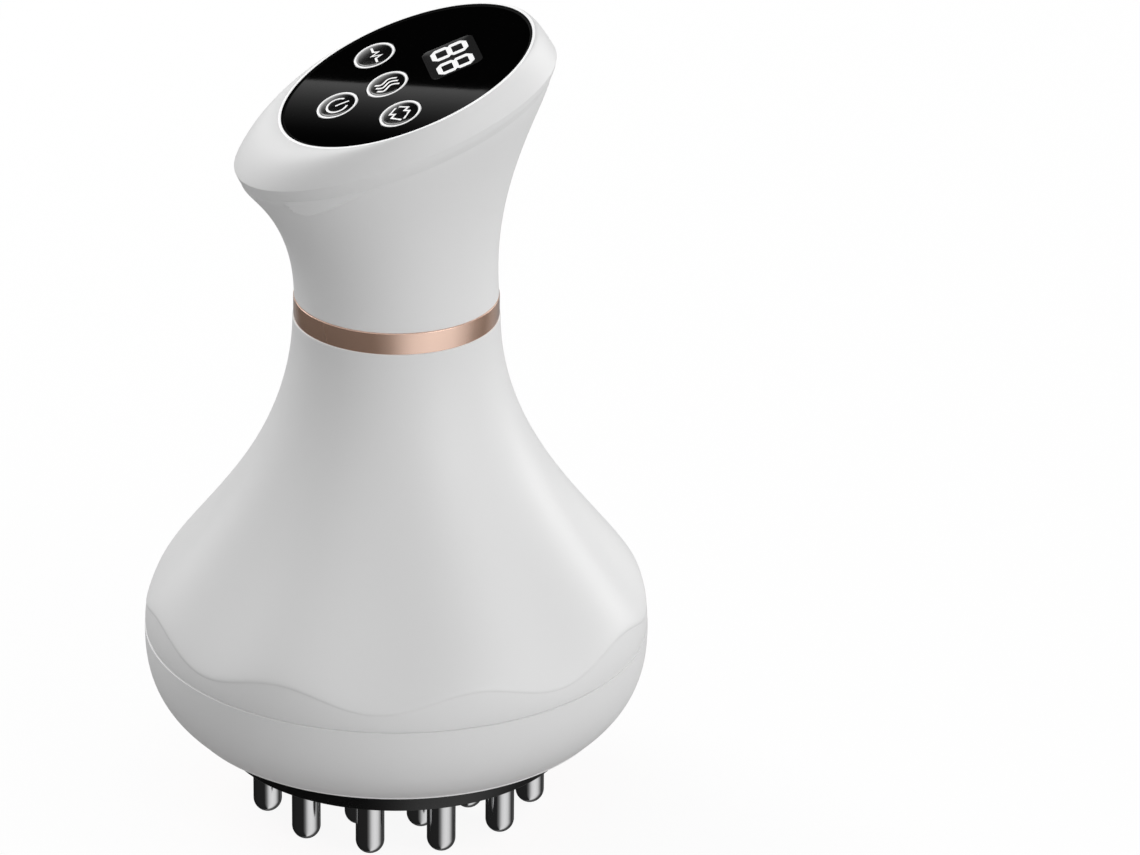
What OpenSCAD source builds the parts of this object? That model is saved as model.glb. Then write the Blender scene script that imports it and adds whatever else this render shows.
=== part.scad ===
// Hand-held lymphatic drainage massager: a bell-shaped body that stands on metal massage
// probes, a slim neck, and a slanted head with four push keys and a two-digit display.
// Millimetres. +Z is up along the body's axis, -Y is the front (the low end of the head).
// The origin is on the axis, in the plane that the probe tips stand on.

/* [Body] */
// Largest radius of the body, at the seam
body_r = 50; // [46:1:56]
// Height of the lower shell, from its bottom edge to the seam
cup_h = 19.4; // [18.4:0.2:22]
// Height of the upper shell, from the seam to the trim ring
bell_h = 66.4; // [64:0.5:69]
// Radius of the neck at the trim ring
neck_r = 20.3; // [19.9:0.1:22]
// Wall thickness of the white shells
shell_t = 2.4; // [2:0.1:2.6]
// Thickness of the lower shell's floor
floor_t = 3.2; // [2.8:0.1:3.8]
// Number of waves round the upper shell
wave_n = 8; // [6:1:10]
// Height of a wave's crest above its mean
wave_rise = 1.8; // [0:0.1:2.2]
// Mean height of the wave crease above the seam
wave_z = 5.2; // [4.5:0.1:7]
// Turn of the waves and the probes about the axis, in degrees
base_turn = 8.5; // [0:0.5:30]
// Height of the metal trim ring
band_h = 4.3; // [3:0.1:6]

/* [Probes and light ring] */
// Length of a probe below the probe plate
probe_len = 14.4; // [12:0.2:18]
// Diameter of an outer or middle probe
probe_d = 5.7; // [5:0.1:6]
// Diameter of the centre probe
centre_d = 9; // [8:0.2:10]
// How much shorter the centre probe is
centre_short = 1.5; // [0.5:0.1:3]
// Number of outer probes
outer_n = 12; // [8:1:12]
// How far the outer probes' circle lies inside the rim's edge
outer_in = 8.8; // [8.6:0.1:9.4]
// Number of middle probes
middle_n = 8; // [5:1:8]
// Radius of the middle probes' circle, as a share of the outer one
middle_share = 0.5956; // [0.57:0.005:0.62]
// How far the black rim's edge lies inside the body's largest radius
rim_in = 14; // [13:0.1:14.4]
// How far the rim shows below the lower shell
rim_show = 5.4; // [4:0.2:7]
// How far the probe plate is set back from the rim's edge
plate_recess = 1; // [0.6:0.1:1.6]
// Width of the light ring
light_w = 2.8; // [2:0.1:3.2]

/* [Head] */
// Height of the panel's centre above the trim ring
head_rise = 45.5; // [43:0.25:50]
// How far the panel's centre lies behind the axis
panel_back = 1.9; // [0:0.1:3]
// Slant of the panel, in degrees
head_tilt = 21; // [14:0.5:23]
// Half the width of the lip, the widest line of the head
lip_rx = 27; // [26.8:0.1:28.4]
// Half the length of the lip, along the slope
lip_rv = 33; // [32:0.25:35]
// How far the lip's centre lies in front of the panel's centre
lip_front = 4.6; // [3:0.1:5]
// Depth of the lip's centre below the panel's face
lip_drop = 5.9; // [5.5:0.1:7]
// How much flatter the lip lies than the panel, in degrees
lip_lean = 1.6; // [0:0.1:3]
// Height of the band under the lip
lip_band = 2.5; // [2.2:0.1:3]
// Radius of the black panel
lens_r = 25.6; // [25:0.1:25.8]
// Thickness of the panel
lens_t = 2; // [1.6:0.1:2.2]

/* [Keys and display] */
// Half the width of a key's white ring, across the head
key_rx = 5.2; // [4.8:0.1:5.4]
// Half the length of a key's white ring, along the slope
key_rv = 4.35; // [4:0.05:4.5]
// Width of the white ring
key_ring_t = 0.55; // [0.4:0.05:0.7]
// Distance between neighbouring keys of the row
key_pitch = 15.2; // [13.5:0.1:15.5]
// Distance from the row to the power key
power_drop = 10.4; // [10:0.1:11]
// Distance from the panel's centre down to the row
row_drop = 4.1; // [3:0.1:4.8]
// Distance from the row up to the display's centre
display_up = 13.6; // [12.5:0.1:14]
// Travel of a key
key_travel = 0.5; // [0.3:0.05:0.6]

/* [Motor, cell and frame] */
// Diameter of the vibration motor
motor_d = 20.2; // [18:0.2:20.4]
// Length of the vibration motor
motor_len = 24.6; // [20:0.2:25]
// Radius of the off-centre weight
weight_r = 11.5; // [8:0.25:11.5]
// Diameter of the rechargeable cell
cell_d = 18.4; // [16:0.1:18.6]
// Length of the rechargeable cell
cell_len = 65; // [60:0.5:66]
// Depth of the charging port's middle below the frame's top
port_down = 2; // [1.8:0.1:2.4]
// Wall of the frame's tube
tube_wall = 2; // [1.9:0.1:2.2]
// How far the four shell screws lie inside the body's largest radius
boss_in = 16; // [15:0.25:17]

/* [Hidden] */
$fn = 64;

// Clearances: a slip fit between fixed pieces, a moving fit, and a shaft or stud in its hole
fit = 0.2;
loose = 0.3;
snug = 0.05;
// A cut runs this far past the face that it opens
past = 0.01;

// Heights along the axis
z_plate = probe_len;
z_rim = z_plate - plate_recess;
z_cup = z_rim + rim_show;
z_floor = z_cup + floor_t;
z_seam = z_cup + cup_h;
z_neck = z_seam + bell_h;
z_handle = z_neck + band_h;
z_panel = z_handle + head_rise;

// Circles that the rim, the probes and the shell screws stand on
rim_r = body_r - rim_in;
outer_pr = rim_r - outer_in;
middle_pr = outer_pr * middle_share;
boss_pr = body_r - boss_in;

// Probe stack, from the plate upwards
plate_t = 2;
board_t = 1.6;
collar_t = 1.6;
heater_t = 3;
nut_t = 2.2;
stud_r = 1.5;
stud_over = 0.6;
collar_over = 1.05;
hole_gap = 0.35;
z_led_board = z_plate + plate_t;
// A probe is a little thinner from just below the plate up to its collar
z_shank = z_plate - 0.5;
shank_in = 0.15;
z_collar = z_led_board + board_t;
z_heater = z_collar + collar_t;
z_nut = z_heater + heater_t;
z_stud = z_nut + nut_t + stud_over;
probe_r = probe_d / 2;
centre_r = centre_d / 2;
// The red lights: a ring of six near the edge and five round the centre probe
led_r = 1.2;
led_outer_n = 6;
led_outer_pr = outer_pr + 1.8;
led_inner_n = 5;
led_share = 0.47;
led_inner_pr = centre_r + led_share * (middle_pr - centre_r);

// Rim, light ring and plate, from the outside in
rim_wall = 1.4;
light_r = rim_r - rim_wall - loose;
plate_r = light_r - light_w - loose;
shelf_r = plate_r + loose;
shelf_t = z_heater - (z_collar - 0.4);
z_shelf = z_heater - shelf_t;
light_set = 0.5;
heater_r = rim_r - 2.1;
gasket_t = 0.6;
flange_t = 2.2;
flange_r = rim_r + 4.4;
z_flange = z_floor + gasket_t;
rim_round = 0.6;

// Screws: shank and head radii
m2_r = 1;
m2_head = 1.9;
m2_head_t = 1.4;
m26_r = 1.25;
m26_head = 2.7;
m26_head_t = 2;
m16_r = 0.7;
m16_head = 1.1;
m16_head_t = 0.9;
rim_screw_pr = rim_r + 2.4;
rim_screw_n = 6;
heater_screw_pr = (shelf_r + heater_r) / 2;
heater_screw_n = 6;

// Lower shell: a superellipse that is widest at the seam
cup_b = 26.5 * cup_h / 19.4;
cup_power = 2.7;
cup_edge = 0.9;
// Lap joint at the seam
lap_h = 3;
lap_skin = shell_t / 2;
lap_t = 1.6;
seam_bevel = 0.25;
// Arms of the lower shell and ears of the frame, clamped by the shell screws
arm_t = 2.6;
arm_w = 8;
arm_rib = 6;
z_arm = z_seam - lap_h - 0.4 - arm_t;
z_ear = z_arm + arm_t;
z_boss = z_ear + arm_t;
boss_r = 3.3;
boss_h = 26;
boss_depth = 10;
rib_t = 2;

// Upper shell: round below the wave crease, then one smooth sweep in to the neck
dome_b = 48;
sweep_up = 9.2;
sweep_in = 3.5;
sweep_neck = 30;
bell_n = 12 * wave_n;
bell_steps = 14;

// Neck: an inner coupler joins the upper shell, the trim ring and the handle
neck_in = neck_r - shell_t;
coupler_r = neck_in - fit;
coupler_down = 8.6;
coupler_up = 4.2;
coupler_step = 0.3;
flange_neck_r = neck_in + 1;
trim_in = flange_neck_r + fit;
trim_bevel = 0.25;

// Handle: oval sections that widen and tilt step by step up to the slant of the lip
handle_n = 72;
handle_steps = 14;
tilt_power = 0.8;
belly = 1.45;
waist_in = 0.9;
waist_up = 0.59;
sweep_top = 0.91;
sweep_top_in = 0.6;
band_in = 1.1;
band_front = 0.8;
top_rx = lip_rx - band_in;
top_rv = lip_rv - band_in;
lip_tilt = head_tilt - lip_lean;
foot_r = neck_r - 0.3;
lap_head = 1.4;
lap_in = 2.2;
tongue_t = 1.3;

// Head: places are (across, up the slope, out of the panel) from the panel's centre
panel_edge = 0.7;
rim_rise = 1.9;
w_seat = -lens_t - 0.25;
seat_t = 1.8;
w_floor = w_seat - seat_t;
seat_r = lens_r - 4;
band_t = lap_in + fit + tongue_t - 0.2;
w_board = w_floor - 4;
board_r = 19.8;
stud_pr = 17.6;
stud_turns = [55, 125, 232, 308];
head_boss_r = 2;
boss_hole = 3.4;
lug_in = 1;
// Tall enough for any cut through the head frame
head_cut = lip_drop + lip_band;

// Keys
cap_rx = key_rx - key_ring_t - fit;
cap_rv = key_rv - key_ring_t - fit;
flange_over = 0.85;
key_flange_t = 1;
w_lens = w_seat + lens_t;
w_flange = w_seat - loose;
stem_r = 1.6;
switch_w = 6;
switch_h = 3.2;
well_depth = 1.6;
w_switch = w_board + switch_h;
w_stem = w_switch - well_depth + key_travel + loose;
key_proud = 0.12;
row_v = -row_drop;
power_at = [0, row_v - power_drop];
pulse_at = [-key_pitch, row_v];
heat_at = [0, row_v];
mode_at = [key_pitch, row_v];
key_places = [power_at, pulse_at, heat_at, mode_at];
display_at = [0, row_v + display_up];
display_w = 12.4;
display_v = 11.4;

// Motor and cell stand in the frame's tube
rib_up = 9;
cell_r = cell_d / 2;
// Least wall of the cell's sleeve
sleeve_t = 0.8;
bore_r = max(motor_d / 2, cell_r + sleeve_t) + fit;
tube_r = bore_r + tube_wall;
z_motor = z_ear + fit;
z_divide = z_motor + motor_len + 0.4;
divide_t = 1.6;
z_cell = z_divide + divide_t + loose;
z_cell_top = z_cell + cell_len;
cell_show = 2.9;
z_tube = z_cell_top - cell_show;
cap_t = 1.3;
shaft_r = 1;
nose_r = 3;
nose_t = 1.4;
cap_screw_pr = tube_r + 2.9;
cap_r = cap_screw_pr + 2.3;
spider_r = cap_r + 1.5;
cap_plate_t = 2.6;
cap_turn = 30;
z_cap = z_ear - cap_plate_t;
weight_t = 3.4;
hub_r = 2.6;
hub_over = 0.5;
weight_drop = 1.4;
z_weight = z_cap - weight_drop - weight_t;

// Boards beside the tube, turned so that their leads pass between two middle probes
side_turn = base_turn - 180 / middle_n;
pad_t = 1.1;
side_board_t = 1.6;
side_board_w = 18;
side_board_z = z_ear + arm_t + rib_up + 1;
side_board_h = 28;
// Thickness of the board's chips, coil and plugs, and radius of its round can
chip_t = 1.3;
coil_t = 4.5;
plug_t = 5;
can_r = 3;
loom_r = 0.9;
loom_pr = tube_r + pad_t + side_board_t / 2 - 0.3;
// Gap between a lead and the coupler's bore
loom_gap = 0.6;
coupler_in = loom_pr + loom_r + loom_gap;

// Charging socket at the back of the handle
port_z = z_tube - port_down;
port_w = 9;
charge_board_t = 1.2;
port_h = 3.2;
// Depth of the socket's mouth inside the neck's radius
port_in = 1.4;
port_len = neck_r - port_in - tube_r - pad_t - charge_board_t;
port_wall = 0.3;
port_tongue_w = 6.6;
port_tongue_t = 0.7;
charge_board_w = 13;
charge_board_h = 15;

function bezier(p, t) =
    pow(1 - t, 3) * p[0] + 3 * t * pow(1 - t, 2) * p[1]
    + 3 * t * t * (1 - t) * p[2] + pow(t, 3) * p[3];

// Outer radius of the lower shell at height z
function cup_radius(z) =
    body_r * pow(1 - pow(max(0, z_seam - z) / cup_b, cup_power), 1 / cup_power);

// Outer radius of the round band between the seam and the crease
function dome_radius(z) = body_r * sqrt(1 - pow((z - z_seam) / dome_b, 2));

// Height of the wave crease in direction a
function crease_z(a) = z_seam + wave_z + wave_rise * cos(wave_n * (a - base_turn));

// Sweep from the crease at height zc to the neck, as [radius, height]
function sweep(zc) = [
    [dome_radius(zc), zc],
    [dome_radius(zc) - sweep_in, zc + sweep_up],
    [neck_r, z_neck - sweep_neck],
    [neck_r, z_neck]
];

// Column of [radius, height] points up the outside in the direction whose crease is at zc
function column(zc) = concat(
    [for (k = [0 : 1]) let (z = z_seam + k / 2 * (zc - z_seam)) [dome_radius(z), z]],
    [for (k = [0 : bell_steps]) bezier(sweep(zc), k / bell_steps)]
);

// Closed solid through a list of rings of points, each ring running anticlockwise from above
module loft(rings) {
    n = len(rings[0]);
    m = len(rings);
    sides = [
        for (k = [0 : m - 2], i = [0 : n - 1])
            let (j = (i + 1) % n, a = k * n, b = a + n)
            each [[a + i, b + i, b + j], [a + i, b + j, a + j]]
    ];
    ends = [[for (i = [0 : n - 1]) i], [for (i = [n - 1 : -1 : 0]) (m - 1) * n + i]];
    polyhedron(points = [for (r = rings) each r], faces = concat(ends, sides));
}

module around(count, turn = 0) {
    for (k = [0 : count - 1]) rotate([0, 0, turn + k * 360 / count]) children();
}

// Bar with round ends, its length along X
module stadium(w, h, d) {
    cube([w - h, d, h], center = true);
    for (s = [-1, 1]) translate([s * (w - h) / 2, 0, 0]) rotate([90, 0, 0])
        cylinder(r = h / 2, h = d, center = true, $fn = 32);
}

module tube(r1, r2, h) {
    difference() {
        cylinder(r = r2, h = h);
        translate([0, 0, -past]) cylinder(r = r1, h = h + 2 * past);
    }
}

// Screw along +Z with its head under z = 0
module screw(r, len, head_r, head_t) {
    translate([0, 0, -past]) cylinder(r = r, h = len + past, $fn = 24);
    translate([0, 0, -head_t]) difference() {
        cylinder(r = head_r, h = head_t, $fn = 32);
        translate([0, 0, -past]) cylinder(r = r * 0.8, h = head_t / 2, $fn = 6);
    }
}

// Frame of the slanted head, with its origin at the middle of the panel's face
module head() {
    translate([0, panel_back, z_panel]) rotate([head_tilt, 0, 0]) children();
}

// Frame of the lip, with its origin at the lip's centre
module lip() {
    head() translate([0, -lip_front, -lip_drop]) rotate([-lip_lean, 0, 0]) children();
}

module at_panel(place, w) {
    translate([place[0], place[1], w]) children();
}

module oval(rx, rv, h, sides = 48) {
    scale([1, rv / rx, 1]) cylinder(r = rx, h = h, $fn = sides);
}

module oval_tube(rx, rv, t, h) {
    difference() {
        oval(rx, rv, h, 96);
        translate([0, 0, -past]) oval(rx - t, rv - t, h + 2 * past, 96);
    }
}

// Lower shell

module base_cup() {
    steps = 18;
    skin = [for (k = [0 : steps]) let (z = z_cup + cup_edge + k / steps * (cup_h - cup_edge))
        [cup_radius(z), z]];
    inside = [for (k = [0 : steps]) let (z = z_floor + k / steps * (z_seam - z_floor))
        [cup_radius(z) - shell_t, z]];
    core = [for (p = skin) [p[0] - shell_t / 2, p[1]]];
    edge_r = cup_radius(z_cup + cup_edge);
    color("white") {
        difference() {
            rotate_extrude($fn = 96) polygon(concat(
                [[rim_r + loose, z_cup], [edge_r - 2 * cup_edge, z_cup],
                 [edge_r - cup_edge * 0.7, z_cup + cup_edge * 0.35]],
                skin,
                [for (k = [steps : -1 : 0]) inside[k]],
                [[rim_r + loose, z_floor]]
            ));
            // Rebate for the upper shell's tongue
            translate([0, 0, z_seam - lap_h])
                cylinder(r = body_r - lap_skin, h = lap_h + past, $fn = 96);
            // Bevel that makes the fine seam line
            translate([0, 0, z_seam - seam_bevel]) difference() {
                cylinder(r = body_r + 1, h = 1);
                translate([0, 0, -past])
                    cylinder(r1 = body_r, r2 = body_r - seam_bevel, h = seam_bevel + 2 * past);
            }
            around(rim_screw_n) translate([rim_screw_pr, 0, z_floor - 2.6])
                cylinder(r = m2_r + snug, h = 3, $fn = 24);
        }
        // Four arms, each with a rib, that the shell screws pass through
        difference() {
            intersection() {
                around(4, 45) {
                    translate([boss_pr, 0, z_arm]) cylinder(r = arm_w / 2, h = arm_t);
                    translate([boss_pr, -arm_w / 2, z_arm]) cube([body_r, arm_w, arm_t]);
                    translate([0, rib_t / 2, 0]) rotate([90, 0, 0]) linear_extrude(rib_t)
                        polygon([[boss_pr + 5, z_arm + 1], [body_r, z_arm + 1],
                            [body_r, z_arm - arm_rib], [boss_pr + 5 + arm_rib, z_arm - arm_rib]]);
                }
                rotate_extrude($fn = 96) polygon(concat([[0, skin[0][1]]], core,
                    [[0, z_seam]]));
            }
            around(4, 45) translate([boss_pr, 0, z_arm - 1])
                cylinder(r = m26_r + 0.35, h = arm_t + 2, $fn = 32);
        }
    }
}

// Upper shell

module bell_skin() {
    dirs = [for (i = [0 : bell_n - 1]) i * 360 / bell_n];
    cols = [for (a = dirs) column(crease_z(a))];
    loft([for (k = [0 : len(cols[0]) - 1])
        [for (i = [0 : bell_n - 1]) let (p = cols[i][k])
            [p[0] * cos(dirs[i]), p[0] * sin(dirs[i]), p[1]]]]);
}

// Round solid inside the skin, in by a given amount, from below the seam to above the neck
module bell_core(in) {
    line = column(z_seam + wave_z - wave_rise);
    rotate_extrude($fn = 96) polygon(concat(
        [[0, z_seam - 5], [line[0][0] - in, z_seam - 5]],
        [for (p = line) [p[0] - in, p[1]]],
        [[neck_r - in, z_neck + 1], [0, z_neck + 1]]
    ));
}

module bell_shell() {
    tongue_r = body_r - lap_skin - fit;
    color("white") {
        difference() {
            bell_skin();
            bell_core(shell_t);
            translate([0, 0, z_seam - past]) difference() {
                cylinder(r = body_r + 1, h = seam_bevel + past);
                cylinder(r1 = body_r - seam_bevel, r2 = body_r, h = seam_bevel + 2 * past);
            }
        }
        // Tongue that drops into the lower shell
        translate([0, 0, z_seam - lap_h + fit]) tube(tongue_r - lap_t, tongue_r, lap_h + 1);
        // Four screw bosses, each tied to the wall by a rib
        intersection() {
            difference() {
                around(4, 45) {
                    translate([boss_pr, 0, z_boss]) cylinder(r = boss_r, h = boss_h);
                    translate([boss_pr, -rib_t / 2, z_boss + boss_r])
                        cube([boss_in, rib_t, boss_h - boss_r]);
                }
                around(4, 45) translate([boss_pr, 0, z_boss - past])
                    cylinder(r = m26_r + snug, h = boss_depth, $fn = 32);
            }
            bell_core(shell_t - 1);
        }
    }
}

// Neck

module trim_ring() {
    r = neck_r;
    color([0.72, 0.52, 0.43]) translate([0, 0, z_neck]) rotate_extrude($fn = 96) polygon([
        [trim_in, 0], [r - trim_bevel, 0], [r, trim_bevel],
        [r, band_h - trim_bevel], [r - trim_bevel, band_h], [trim_in, band_h]
    ]);
}

module neck_coupler() {
    r = coupler_r;
    up_r = r - coupler_step;
    color("gainsboro") translate([0, 0, z_neck]) rotate_extrude() polygon([
        [coupler_in, -coupler_down], [r, -coupler_down], [r, 0], [flange_neck_r, 0],
        [flange_neck_r, band_h], [up_r, band_h], [up_r, band_h + coupler_up],
        [coupler_in, band_h + coupler_up]
    ]);
}

// Handle

// Lip frame to head frame, and head frame to the model's axes
function lip_head(p) = [p[0],
    p[1] * cos(lip_lean) + p[2] * sin(lip_lean) - lip_front,
    p[2] * cos(lip_lean) - p[1] * sin(lip_lean) - lip_drop];
function head_world(p) = [p[0],
    p[1] * cos(head_tilt) - p[2] * sin(head_tilt) + panel_back,
    p[1] * sin(head_tilt) + p[2] * cos(head_tilt) + z_panel];

// Centre of the handle's top section
handle_top = head_world(lip_head([0, -band_front, -lip_band]));

// Sweep of [half length, height] from the trim ring up to the band
handle_line = let (h = handle_top[2] - z_handle) [
    [foot_r, z_handle],
    [foot_r - waist_in, z_handle + waist_up * h],
    [top_rv - sweep_top_in, z_handle + sweep_top * h],
    [top_rv, z_handle + h]
];

// Oval section at a point of the sweep, tilted by its share of the slant
function handle_ring(p, in) =
    let (s = (p[1] - z_handle) / (handle_top[2] - z_handle),
        wide = (p[0] - foot_r) / (top_rv - foot_r),
        rx = foot_r + (top_rx - foot_r) * wide - in, rv = p[0] - in,
        tilt = lip_tilt * pow(max(0, s), tilt_power),
        back = handle_top[1] * s * s - belly * s * (1 - s))
    [for (i = [0 : handle_n - 1]) let (a = i * 360 / handle_n)
        [rx * cos(a), rv * sin(a) * cos(tilt) + back, rv * sin(a) * sin(tilt) + p[1]]];

function handle_rings(in) =
    [for (k = [0 : handle_steps]) handle_ring(bezier(handle_line, k / handle_steps), in)];

function moved(ring, d) = [for (p = ring) p + d];

// Hollow of the handle, which runs out past both of its ends
module handle_hollow() {
    rings = handle_rings(shell_t);
    up = [0, -sin(lip_tilt), cos(lip_tilt)];
    loft(concat([moved(rings[0], [0, 0, -1])], rings, [moved(rings[handle_steps], up)]));
}

module handle_shell() {
    color("white") difference() {
        loft(handle_rings(0));
        handle_hollow();
        // Counterbore for the head's tongue
        lip() translate([0, -band_front, -lip_band - lap_head])
            oval(top_rx - lap_in, top_rv - lap_in, lap_head + 1, 96);
        // Charging port
        translate([0, neck_in, port_z]) stadium(port_w + 0.4, port_h + 0.4, 8);
    }
}

// Head frame: the lip and the dome that rises to the panel

function lip_ring(v, w, rx, rv) = [for (i = [0 : handle_n - 1]) let (a = i * 360 / handle_n)
    lip_head([rx * cos(a), rv * sin(a) + v, w])];

// Ring a share h of the way in and a share g of the way up, from the lip to the panel
function dome_ring(h, g) =
    let (edge = lens_r + panel_edge, rx = lip_rx + (edge - lip_rx) * h,
        rv = lip_rv + (edge - lip_rv) * h, slope = (1 - g) * tan(lip_lean))
    [for (i = [0 : handle_n - 1]) let (a = i * 360 / handle_n, v = rv * sin(a))
        [rx * cos(a), v - lip_front * (1 - h), -lip_drop * (1 - g) - slope * v]];

module bezel_skin() {
    rise = 8;
    loft(concat(
        [lip_ring(-band_front, -lip_band, top_rx, top_rv)],
        [lip_ring(-band_front * 0.2, -lip_band * 0.3, lip_rx - 0.15, lip_rv - 0.15)],
        [for (k = [0 : rise]) let (a = 90 * k / rise)
            dome_ring(1 - cos(a), pow(sin(a), rim_rise))]
    ));
}

module head_bezel() {
    color("white") {
        head() difference() {
            bezel_skin();
            at_panel([0, 0], w_seat) cylinder(r = lens_r + fit, h = head_cut, $fn = 96);
            at_panel([0, 0], w_floor - seat_t)
                cylinder(r = seat_r, h = 2 * seat_t + past, $fn = 96);
            intersection() {
                at_panel([0, 0], w_floor - 1.4 * head_cut)
                    cylinder(r = 2 * lens_r, h = 1.4 * head_cut);
                translate([0, -lip_front, -lip_drop]) rotate([-lip_lean, 0, 0])
                    translate([0, -band_front, -1.4 * lip_band])
                        oval(top_rx - band_t, top_rv - band_t, 1.4 * head_cut, 96);
            }
        }
        // Tongue that drops into the handle
        lip() translate([0, -band_front, -lip_band - lap_head + loose])
            oval_tube(top_rx - lap_in - fit, top_rv - lap_in - fit, tongue_t, lap_head + 0.6);
        // Four bosses that carry the key board, each on a lug of the panel's seat
        head() for (a = stud_turns) rotate([0, 0, a]) difference() {
            union() {
                at_panel([stud_pr, 0], w_board)
                    cylinder(r = head_boss_r, h = w_seat - 0.4 - w_board);
                at_panel([stud_pr, -head_boss_r], w_floor)
                    cube([seat_r - stud_pr + lug_in, 2 * head_boss_r, seat_t - 0.4]);
            }
            at_panel([stud_pr, 0], w_board - past)
                cylinder(r = m2_r + snug, h = boss_hole, $fn = 24);
        }
    }
}

module panel_lens() {
    color([0.03, 0.03, 0.03]) head() difference() {
        at_panel([0, 0], w_seat) cylinder(r = lens_r, h = lens_t, $fn = 96);
        for (p = key_places) at_panel(p, w_seat - 1)
            oval(key_rx + snug, key_rv + snug, lens_t + 2);
    }
}

module key_rings() {
    color("white") head() for (p = key_places) at_panel(p, w_seat) difference() {
        oval(key_rx, key_rv, lens_t + 0.1);
        translate([0, 0, -1])
            oval(key_rx - key_ring_t, key_rv - key_ring_t, lens_t + 3);
    }
}

// Key: a cap in its ring, a flange that keeps it behind the panel and a stem on the switch
module key(place) {
    color([0.16, 0.16, 0.16]) head() {
        at_panel(place, w_flange - key_flange_t / 2)
            oval(cap_rx, cap_rv, w_lens + key_proud - w_flange + key_flange_t / 2);
        at_panel(place, w_flange - key_flange_t)
            oval(cap_rx + flange_over, cap_rv + flange_over, key_flange_t);
        at_panel(place, w_stem) cylinder(r = stem_r, h = w_flange - w_stem - 0.2, $fn = 32);
    }
}

module power_button() { key(power_at); }
module pulse_button() { key(pulse_at); }
module heat_button() { key(heat_at); }
module mode_button() { key(mode_at); }

module display_module() {
    color([0.12, 0.12, 0.12]) head() at_panel(display_at, w_board)
        translate([-display_w / 2, -display_v / 2, 0])
            cube([display_w, display_v, w_seat - loose - w_board]);
}

module panel_board() {
    color("darkgreen") head() difference() {
        at_panel([0, 0], w_board - board_t) cylinder(r = board_r, h = board_t);
        for (a = stud_turns) rotate([0, 0, a]) at_panel([stud_pr, 0], w_board - board_t - 1)
            cylinder(r = m2_r + 0.15, h = board_t + 2, $fn = 24);
    }
}

module tact_switches() {
    color([0.25, 0.25, 0.27]) head() for (p = key_places) at_panel(p, w_board) difference() {
        translate([-switch_w / 2, -switch_w / 2, 0]) cube([switch_w, switch_w, switch_h]);
        translate([0, 0, switch_h - well_depth])
            cylinder(r = stem_r + fit, h = well_depth + 1, $fn = 32);
    }
}

module board_screws() {
    color("silver") head() for (a = stud_turns) rotate([0, 0, a])
        at_panel([stud_pr, 0], w_board - board_t) screw(m2_r, board_t + 2.8, m2_head, m2_head_t);
}

// Rim and light ring

module base_rim() {
    color([0.06, 0.06, 0.06]) difference() {
        rotate_extrude($fn = 96) polygon(concat(
            [for (a = [180 : 22.5 : 270]) [rim_r - rim_wall + 0.3 + 0.3 * cos(a),
                z_rim + 0.3 + 0.3 * sin(a)]],
            [for (a = [270 : 22.5 : 360]) [rim_r - rim_round + rim_round * cos(a),
                z_rim + rim_round + rim_round * sin(a)]],
            [[rim_r, z_flange], [flange_r, z_flange], [flange_r, z_flange + flange_t],
             [heater_r + loose, z_flange + flange_t], [heater_r + loose, z_heater],
             [shelf_r, z_heater], [shelf_r, z_shelf], [rim_r - rim_wall, z_shelf]]
        ));
        around(rim_screw_n) translate([rim_screw_pr, 0, z_flange - 1])
            cylinder(r = m2_r + loose, h = flange_t + 2, $fn = 24);
        around(heater_screw_n) translate([heater_screw_pr, 0, z_shelf + 0.4])
            cylinder(r = m16_r + snug, h = shelf_t, $fn = 24);
    }
}

module rim_gasket() {
    color([0.2, 0.2, 0.2]) difference() {
        translate([0, 0, z_floor]) tube(rim_r + loose, flange_r - 0.3, gasket_t);
        around(rim_screw_n) translate([rim_screw_pr, 0, z_floor - 1])
            cylinder(r = m2_r + loose, h = gasket_t + 2, $fn = 24);
    }
}

module light_ring() {
    z0 = z_rim + light_set;
    r = light_r;
    color([0.9, 0.15, 0.1]) rotate_extrude($fn = 96) polygon([
        [r - light_w, z0 + 0.3], [r - light_w + 0.3, z0], [r - 0.3, z0], [r, z0 + 0.3],
        [r, z_shelf], [r - light_w, z_shelf]
    ]);
}

// Probe stack

module outer_places() {
    around(outer_n, base_turn + 1) translate([outer_pr, 0, 0]) children();
}

module middle_places() {
    around(middle_n, base_turn - 0.5) translate([middle_pr, 0, 0]) children();
}

module led_places() {
    around(led_outer_n, base_turn + 1 + 180 / outer_n)
        translate([led_outer_pr, 0, 0]) children();
    around(led_inner_n, base_turn) translate([led_inner_pr, 0, 0]) children();
}

// Probe with a round tip at z = low, a thinner shank in the plate, a collar under the heater
// and a stud through it
module probe(r, low) {
    translate([0, 0, low + r]) sphere(r = r, $fn = 48);
    translate([0, 0, low + r]) cylinder(r = r, h = z_shank - low - r, $fn = 48);
    translate([0, 0, z_shank - past])
        cylinder(r = r - shank_in, h = z_collar - z_shank + 2 * past, $fn = 48);
    translate([0, 0, z_collar]) cylinder(r = r + collar_over, h = collar_t, $fn = 48);
    translate([0, 0, z_heater - past])
        cylinder(r = stud_r, h = z_stud - z_heater + past, $fn = 32);
}

// Holes that the probes pass through, wider than a probe by the gap that shows as a dark ring
module probe_holes(z, h) {
    outer_places() translate([0, 0, z]) cylinder(r = probe_r + hole_gap, h = h, $fn = 48);
    middle_places() translate([0, 0, z]) cylinder(r = probe_r + hole_gap, h = h, $fn = 48);
    translate([0, 0, z]) cylinder(r = centre_r + hole_gap, h = h, $fn = 48);
}

module stud_places() {
    outer_places() children();
    middle_places() children();
    children();
}

module outer_probes() {
    color([0.45, 0.45, 0.47]) outer_places() probe(probe_r, 0);
}

module middle_probes() {
    color([0.45, 0.45, 0.47]) middle_places() probe(probe_r, 0);
}

module centre_probe() {
    color([0.45, 0.45, 0.47]) probe(centre_r, centre_short);
}

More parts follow.
